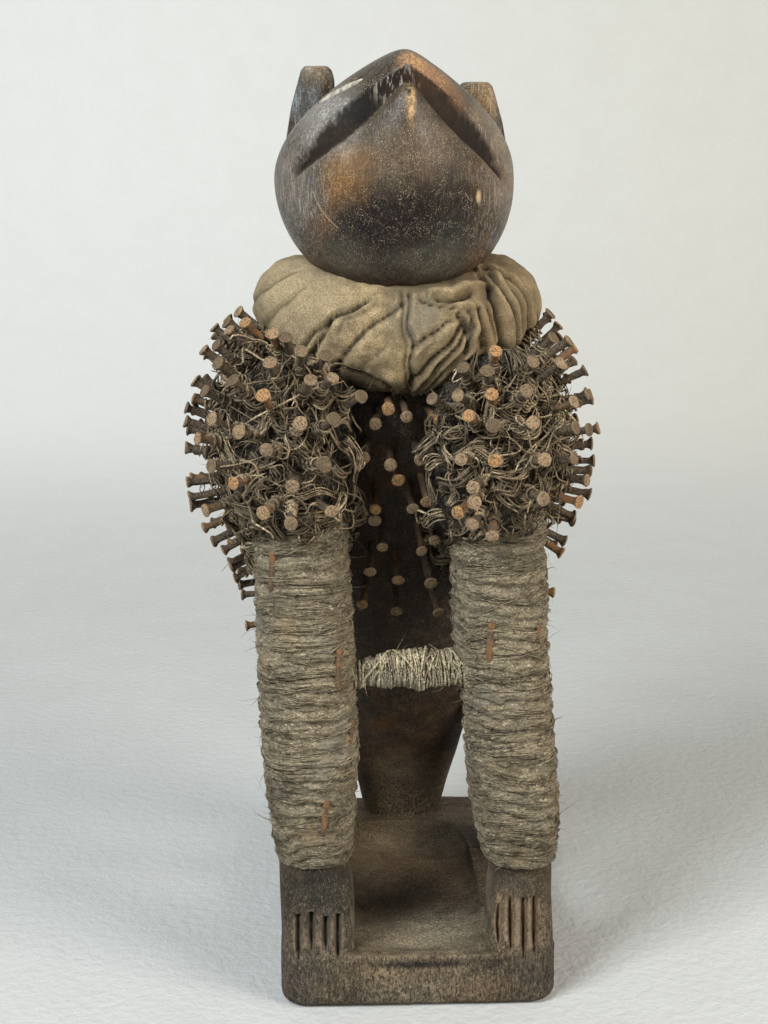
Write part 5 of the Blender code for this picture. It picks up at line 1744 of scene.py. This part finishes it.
CLOTH_PATCHES = (
    # centre, radius, squeeze, colour, strength
    ((-0.0560, -0.0720, 0.3520), 0.028, (0.8, 0.4, 0.8), (0.420, 0.335, 0.205), 0.50),
    ((0.0000, -0.1200, 0.3320), 0.018, (0.8, 0.4, 0.8), (0.190, 0.160, 0.102), 0.65),
    ((0.0460, -0.0850, 0.3480), 0.030, (0.8, 0.4, 0.8), (0.150, 0.108, 0.060), 0.50),
    ((-0.0020, -0.100, 0.343), 0.016, (1.0, 0.1, 1.0), (0.145, 0.138, 0.110), 0.60),
    ((0.0300, -0.100, 0.347), 0.020, (1.0, 0.1, 0.8), (0.150, 0.100, 0.052), 0.65),
    ((0.0180, -0.100, 0.326), 0.014, (1.0, 0.1, 1.0), (0.140, 0.105, 0.062), 0.60),
    ((0.0205, -0.100, 0.338), 0.006, (1.0, 0.1, 1.0), (0.030, 0.024, 0.016), 0.80),
    ((0.0330, -0.100, 0.352), 0.010, (1.8, 0.1, 0.7), (0.030, 0.022, 0.014), 0.70),
    # Painted shade: near black in the hollow at the lower left of the collar
    ((-0.0310, -0.100, 0.310), 0.0145, (0.75, 0.1, 1.1), (0.010, 0.008, 0.005), 0.97),
    ((-0.0070, -0.100, 0.304), 0.013, (0.7, 0.1, 1.2), (0.016, 0.012, 0.008), 0.85),
    ((-0.0100, -0.100, 0.318), 0.008, (1.4, 0.1, 0.8), (0.420, 0.310, 0.150), 0.50),
    ((0.0020, -0.090, 0.358), 0.012, (0.4, 0.1, 1.2), (0.090, 0.074, 0.048), 0.65),
)


def cloth_material(sizes):
    made, sketch, shader = new_material("collar_cotton", Roughness=0.92, Specular_IOR_Level=0.2)
    where = sketch.place()
    colour = tuple(sizes.colour)
    weave = sketch.noise(where, 1500.0, 2.0, 0.7)
    cloud = sketch.noise(where, 34.0, 5.0, 0.6)
    blotches = sketch.noise(where, 95.0, 6.0, 0.72)
    base = sketch.blend(sketch.span(cloud, 0.36, 0.64), shade(colour, 0.55), shade(colour, 1.20))
    base = sketch.lay(base, shade(colour, 0.28), sketch.span(blotches, 0.55, 0.36), 0.65)
    base = sketch.lay(base, shade(colour, 1.5), sketch.span(blotches, 0.56, 0.66), 0.4)
    for centre, radius, squeeze, tone, strength in CLOTH_PATCHES:
        mask = patch_mask(sketch, centre, radius, squeeze)
        base = sketch.lay(base, tone, mask, strength)
    low = sketch.span(sketch.axes(where)["Z"], 0.328, 0.305)
    base = sketch.lay(base, shade(colour, 0.24), low, sketch.span(blotches, 0.60, 0.44))
    edges = sketch.use(edges_group(), Edge=0.525, Hollow=0.478)
    base = sketch.lay(base, shade(colour, 1.4), edges["Rubbed"], 0.35)
    # Painted shade: the hollows of the folds and the fold lines are darkened
    base = sketch.lay(base, shade(colour, 0.12), edges["Concave"], 0.8)
    painted_fold_shade = sketch.times(attribute(sketch, "crease_shade"), sketch.span(blotches, 0.3, 0.62, 1.25, 0.75))
    base = sketch.lay(base, shade(colour, 0.06), painted_fold_shade, 0.95)
    threads = sketch.times(sketch.span(weave, 0.54, 0.42), 0.6)
    sketch.feed(shader.inputs["Base Color"], sketch.blend(threads, base, shade(colour, 0.30)))
    relief = sketch.plus(weave, sketch.times(blotches, 1.5))
    sketch.feed(shader.inputs["Normal"], sketch.bump(relief, 0.0008))
    return made


def pitch_material():
    made, sketch, shader = new_material("pitch_and_fibre", Roughness=0.9, Specular_IOR_Level=0.15)
    where = sketch.place()
    matted = sketch.use(streaks_group(), Stretch=(0.45, 1.0, 1.0), Scale=900.0)
    cloud = sketch.noise(where, 150.0, 5.0, 0.7)
    lint = sketch.noise(sketch.vector("MULTIPLY", where, (1.0, 0.6, 0.35)), 760.0, 4.0, 0.7, 2.4)
    colour = sketch.blend(matted["Streaks"], (0.008, 0.007, 0.006), (0.085, 0.070, 0.050))
    colour = sketch.blend(sketch.span(lint, 0.50, 0.62), colour, (0.215, 0.185, 0.130))
    colour = sketch.lay(colour, (0.008, 0.007, 0.006), sketch.span(cloud, 0.54, 0.42), 0.85)
    edges = sketch.use(edges_group(), Edge=0.53, Hollow=0.47)
    colour = sketch.lay(colour, (0.006, 0.005, 0.004), edges["Concave"], 0.8)
    sketch.feed(shader.inputs["Base Color"], colour)
    relief = sketch.plus(matted["Height"], sketch.times(lint, 1.4))
    sketch.feed(shader.inputs["Normal"], sketch.bump(relief, 0.0018))
    return made


def iron_material(sizes):
    if "rusted_iron" in bpy.data.materials:
        return bpy.data.materials["rusted_iron"]
    made, sketch, shader = new_material("rusted_iron", Specular_IOR_Level=0.25)
    where = sketch.place()
    rust = tuple(sizes.rust)
    crust = sketch.noise(where, 1100.0, 5.0, 0.72)
    cloud = sketch.noise(where, 160.0, 4.0, 0.6)
    tone = attribute(sketch, "tone")
    head = attribute(sketch, "head")
    face = sketch.blend(sketch.span(tone, 0.0, 0.8), shade(rust, 0.45), shade(rust, 1.15))
    face = sketch.lay(face, (0.400, 0.205, 0.075), sketch.span(tone, 0.86, 0.96), 0.75)
    face = sketch.lay(face, shade(rust, 0.24), sketch.span(crust, 0.54, 0.42), 0.85)
    face = sketch.lay(face, (0.320, 0.235, 0.145), sketch.span(cloud, 0.56, 0.7), 0.4)
    shank = sketch.blend(sketch.span(crust, 0.36, 0.64), (0.020, 0.015, 0.011), (0.140, 0.102, 0.066))
    rusting = sketch.times(sketch.span(tone, 0.72, 0.97), sketch.span(cloud, 0.42, 0.58, 0.15, 0.9))
    shank = sketch.blend(rusting, shank, (0.190, 0.092, 0.036))
    edges = sketch.use(edges_group(), Edge=0.56, Hollow=0.45)
    colour = sketch.blend(head, shank, face)
    colour = sketch.lay(colour, (0.340, 0.250, 0.150), edges["Rubbed"], 0.25)
    sketch.feed(shader.inputs["Base Color"], colour)
    sketch.feed(shader.inputs["Roughness"], sketch.span(crust, 0.3, 0.7, 0.65, 0.95))
    sketch.feed(shader.inputs["Normal"], sketch.bump(crust, 0.0008))
    return made


def fibre_material(sizes):
    made, sketch, shader = new_material("loose_fibre", Roughness=0.9, Specular_IOR_Level=0.15)
    where = sketch.place()
    fibre = tuple(sizes.fibre)
    fine = sketch.noise(where, 1400.0, 3.0, 0.65)
    cloud = sketch.noise(where, 260.0, 5.0, 0.72)
    broad = sketch.noise(where, 70.0, 3.0, 0.6)
    tone = attribute(sketch, "tone")
    colour = sketch.blend(tone, shade(fibre, 0.11), shade(fibre, 1.45))
    colour = sketch.lay(colour, shade(fibre, 0.09), sketch.span(cloud, 0.52, 0.40), 0.75)
    colour = sketch.lay(colour, (0.340, 0.195, 0.085), sketch.span(cloud, 0.56, 0.66), 0.7)
    colour = sketch.lay(colour, shade(fibre, 0.14), sketch.span(broad, 0.52, 0.36), 0.45)
    colour = sketch.blend(sketch.span(fine, 0.44, 0.58, 0.75, 0.0), colour, shade(fibre, 0.20))
    sketch.feed(shader.inputs["Base Color"], colour)
    sketch.feed(shader.inputs["Normal"], sketch.bump(fine, 0.0005))
    return made


# The stage

CAMERA_PLACE = Vector((-0.042, back(-0.700), 0.398))
CAMERA_LENS = 54.14
CAMERA_PITCH = math.radians(78.25)
CAMERA_YAW = math.radians(-2.0)
FLOOR_LEVEL = -0.0003
FLOOR_RADIUS = 1.9
FLOOR_SIDES = 96
WALL_BEND = 0.8
WALL_HEIGHTS = (2.2, 3.4)
WALL_GLOW = 0.50


class FIGURE_OT_stage(bpy.types.Operator):
    """Set the floor, the backdrop, the lights and the camera"""
    bl_idname = "figure.set_stage"
    bl_label = "Set Stage"

    def execute(self, context):
        sizes = context.scene.figure_stage
        scene = context.scene
        scene.view_settings.view_transform = "Standard"
        lens = bpy.data.cameras.new("photo_view")
        lens.lens = CAMERA_LENS
        lens.sensor_width = 36
        camera = new_object("photo_view", lens)
        camera.location = CAMERA_PLACE
        camera.rotation_euler = (CAMERA_PITCH, 0, CAMERA_YAW)
        scene.camera = camera

        # A round floor that turns up into a wall on every side, open above
        profile = [(radius, FLOOR_LEVEL) for radius in (0.001, 0.5, 1.0, FLOOR_RADIUS)]
        for turned in np.linspace(0.1, math.pi / 2, 16):
            profile.append((FLOOR_RADIUS + WALL_BEND * math.sin(turned),
                            WALL_BEND - WALL_BEND * math.cos(turned) + FLOOR_LEVEL))
        profile += [(FLOOR_RADIUS + WALL_BEND, height) for height in WALL_HEIGHTS]
        turn = np.arange(FLOOR_SIDES) * math.tau / FLOOR_SIDES
        rings = [[(r * math.cos(a), r * math.sin(a), z) for a in turn] for r, z in profile]
        floor = mesh_object("floor", np.reshape(rings, (-1, 3)), grid_faces(len(profile), FLOOR_SIDES))
        made, sketch, shader = new_material("pale_plaster", Roughness=0.9, Specular_IOR_Level=0.2)
        where = sketch.place()
        apart = sketch.axes(where)
        cloud = sketch.noise(where, 14.0, 5.0, 0.6)
        # Painted shadow: the glow turns darker and warmer towards the right of the wall
        wall = sketch.blend(sketch.span(apart["X"], -0.6, 1.4), tuple(sizes.wall), tuple(sizes.warm))
        tone = sketch.blend(sketch.span(apart["Z"], 0.0, 0.5), tuple(sizes.floor), shade(sizes.wall, 0.6))
        tone = sketch.lay(tone, (0.3, 0.28, 0.24), sketch.span(cloud, 0.62, 0.38), 0.08)
        sketch.feed(shader.inputs["Base Color"], tone)
        glow = sketch.blend(sketch.span(apart["Y"], 0.1, 2.0), (0.0, 0.0, 0.0), wall)
        sketch.feed(shader.inputs["Emission Color"], glow)
        shader.inputs["Emission Strength"].default_value = WALL_GLOW
        sketch.feed(shader.inputs["Normal"], sketch.bump(sketch.noise(where, 160.0, 4.0, 0.6), 0.0012))
        floor.data.materials.append(made)

        for name, place, aim, size, power, tint in (
                ("key_light", (-1.00, -1.10, 1.30), (0, 0, 0.22), 0.7, sizes.key, (0.93, 0.97, 1.0)),
                ("fill_light", (1.20, -0.90, 0.80), (0, 0, 0.22), 0.8, sizes.fill, (1.0, 0.92, 0.82))):
            light = bpy.data.lights.new(name, "AREA")
            light.size = size
            light.energy = power
            light.color = tint
            lamp = new_object(name, light)
            lamp.location = place
            lamp.rotation_euler = (Vector(aim) - Vector(place)).to_track_quat("-Z", "Y").to_euler()
        world = scene.world or bpy.data.worlds.new("studio")
        scene.world = world
        world.use_nodes = True
        sky = world.node_tree.nodes["Background"]
        sky.inputs["Color"].default_value = (0.96, 0.98, 1.0, 1.0)
        sky.inputs["Strength"].default_value = sizes.sky
        return {"FINISHED"}


STEPS = (FIGURE_OT_stage, FIGURE_OT_wood, FIGURE_OT_eyes, FIGURE_OT_bindings, FIGURE_OT_tie, FIGURE_OT_cloth,
         FIGURE_OT_shoulders, FIGURE_OT_chest)
GROUPS = {"figure_wood": FigureWood, "figure_twine": FigureTwine, "figure_cloth": FigureCloth,
          "figure_nails": FigureNails, "figure_stage": FigureStage}


class FIGURE_PT_panel(bpy.types.Panel):
    """The figure's steps and its sizes and colours"""
    bl_idname = "FIGURE_PT_panel"
    bl_label = "Seated Power Figure"
    bl_space_type = "VIEW_3D"
    bl_region_type = "UI"
    bl_category = "Figure"

    def draw(self, context):
        for step in STEPS:
            self.layout.operator(step.bl_idname)
        for name in GROUPS:
            box = self.layout.box()
            group = getattr(context.scene, name)
            for label in group.bl_rna.properties.keys():
                if label not in ("rna_type", "name"):
                    box.prop(group, label)


def register():
    for made in (*GROUPS.values(), *STEPS, FIGURE_PT_panel):
        bpy.utils.register_class(made)
    for name, group in GROUPS.items():
        setattr(bpy.types.Scene, name, PointerProperty(type=group))


def unregister():
    for name in GROUPS:
        delattr(bpy.types.Scene, name)
    for made in (FIGURE_PT_panel, *reversed(STEPS), *reversed(GROUPS.values())):
        bpy.utils.unregister_class(made)


def main():
    register()
    for step in STEPS:
        group, name = step.bl_idname.split(".")
        if getattr(getattr(bpy.ops, group), name)() != {"FINISHED"}:
            raise RuntimeError(step.bl_label + " did not finish")


if __name__ == "__main__":
    main()
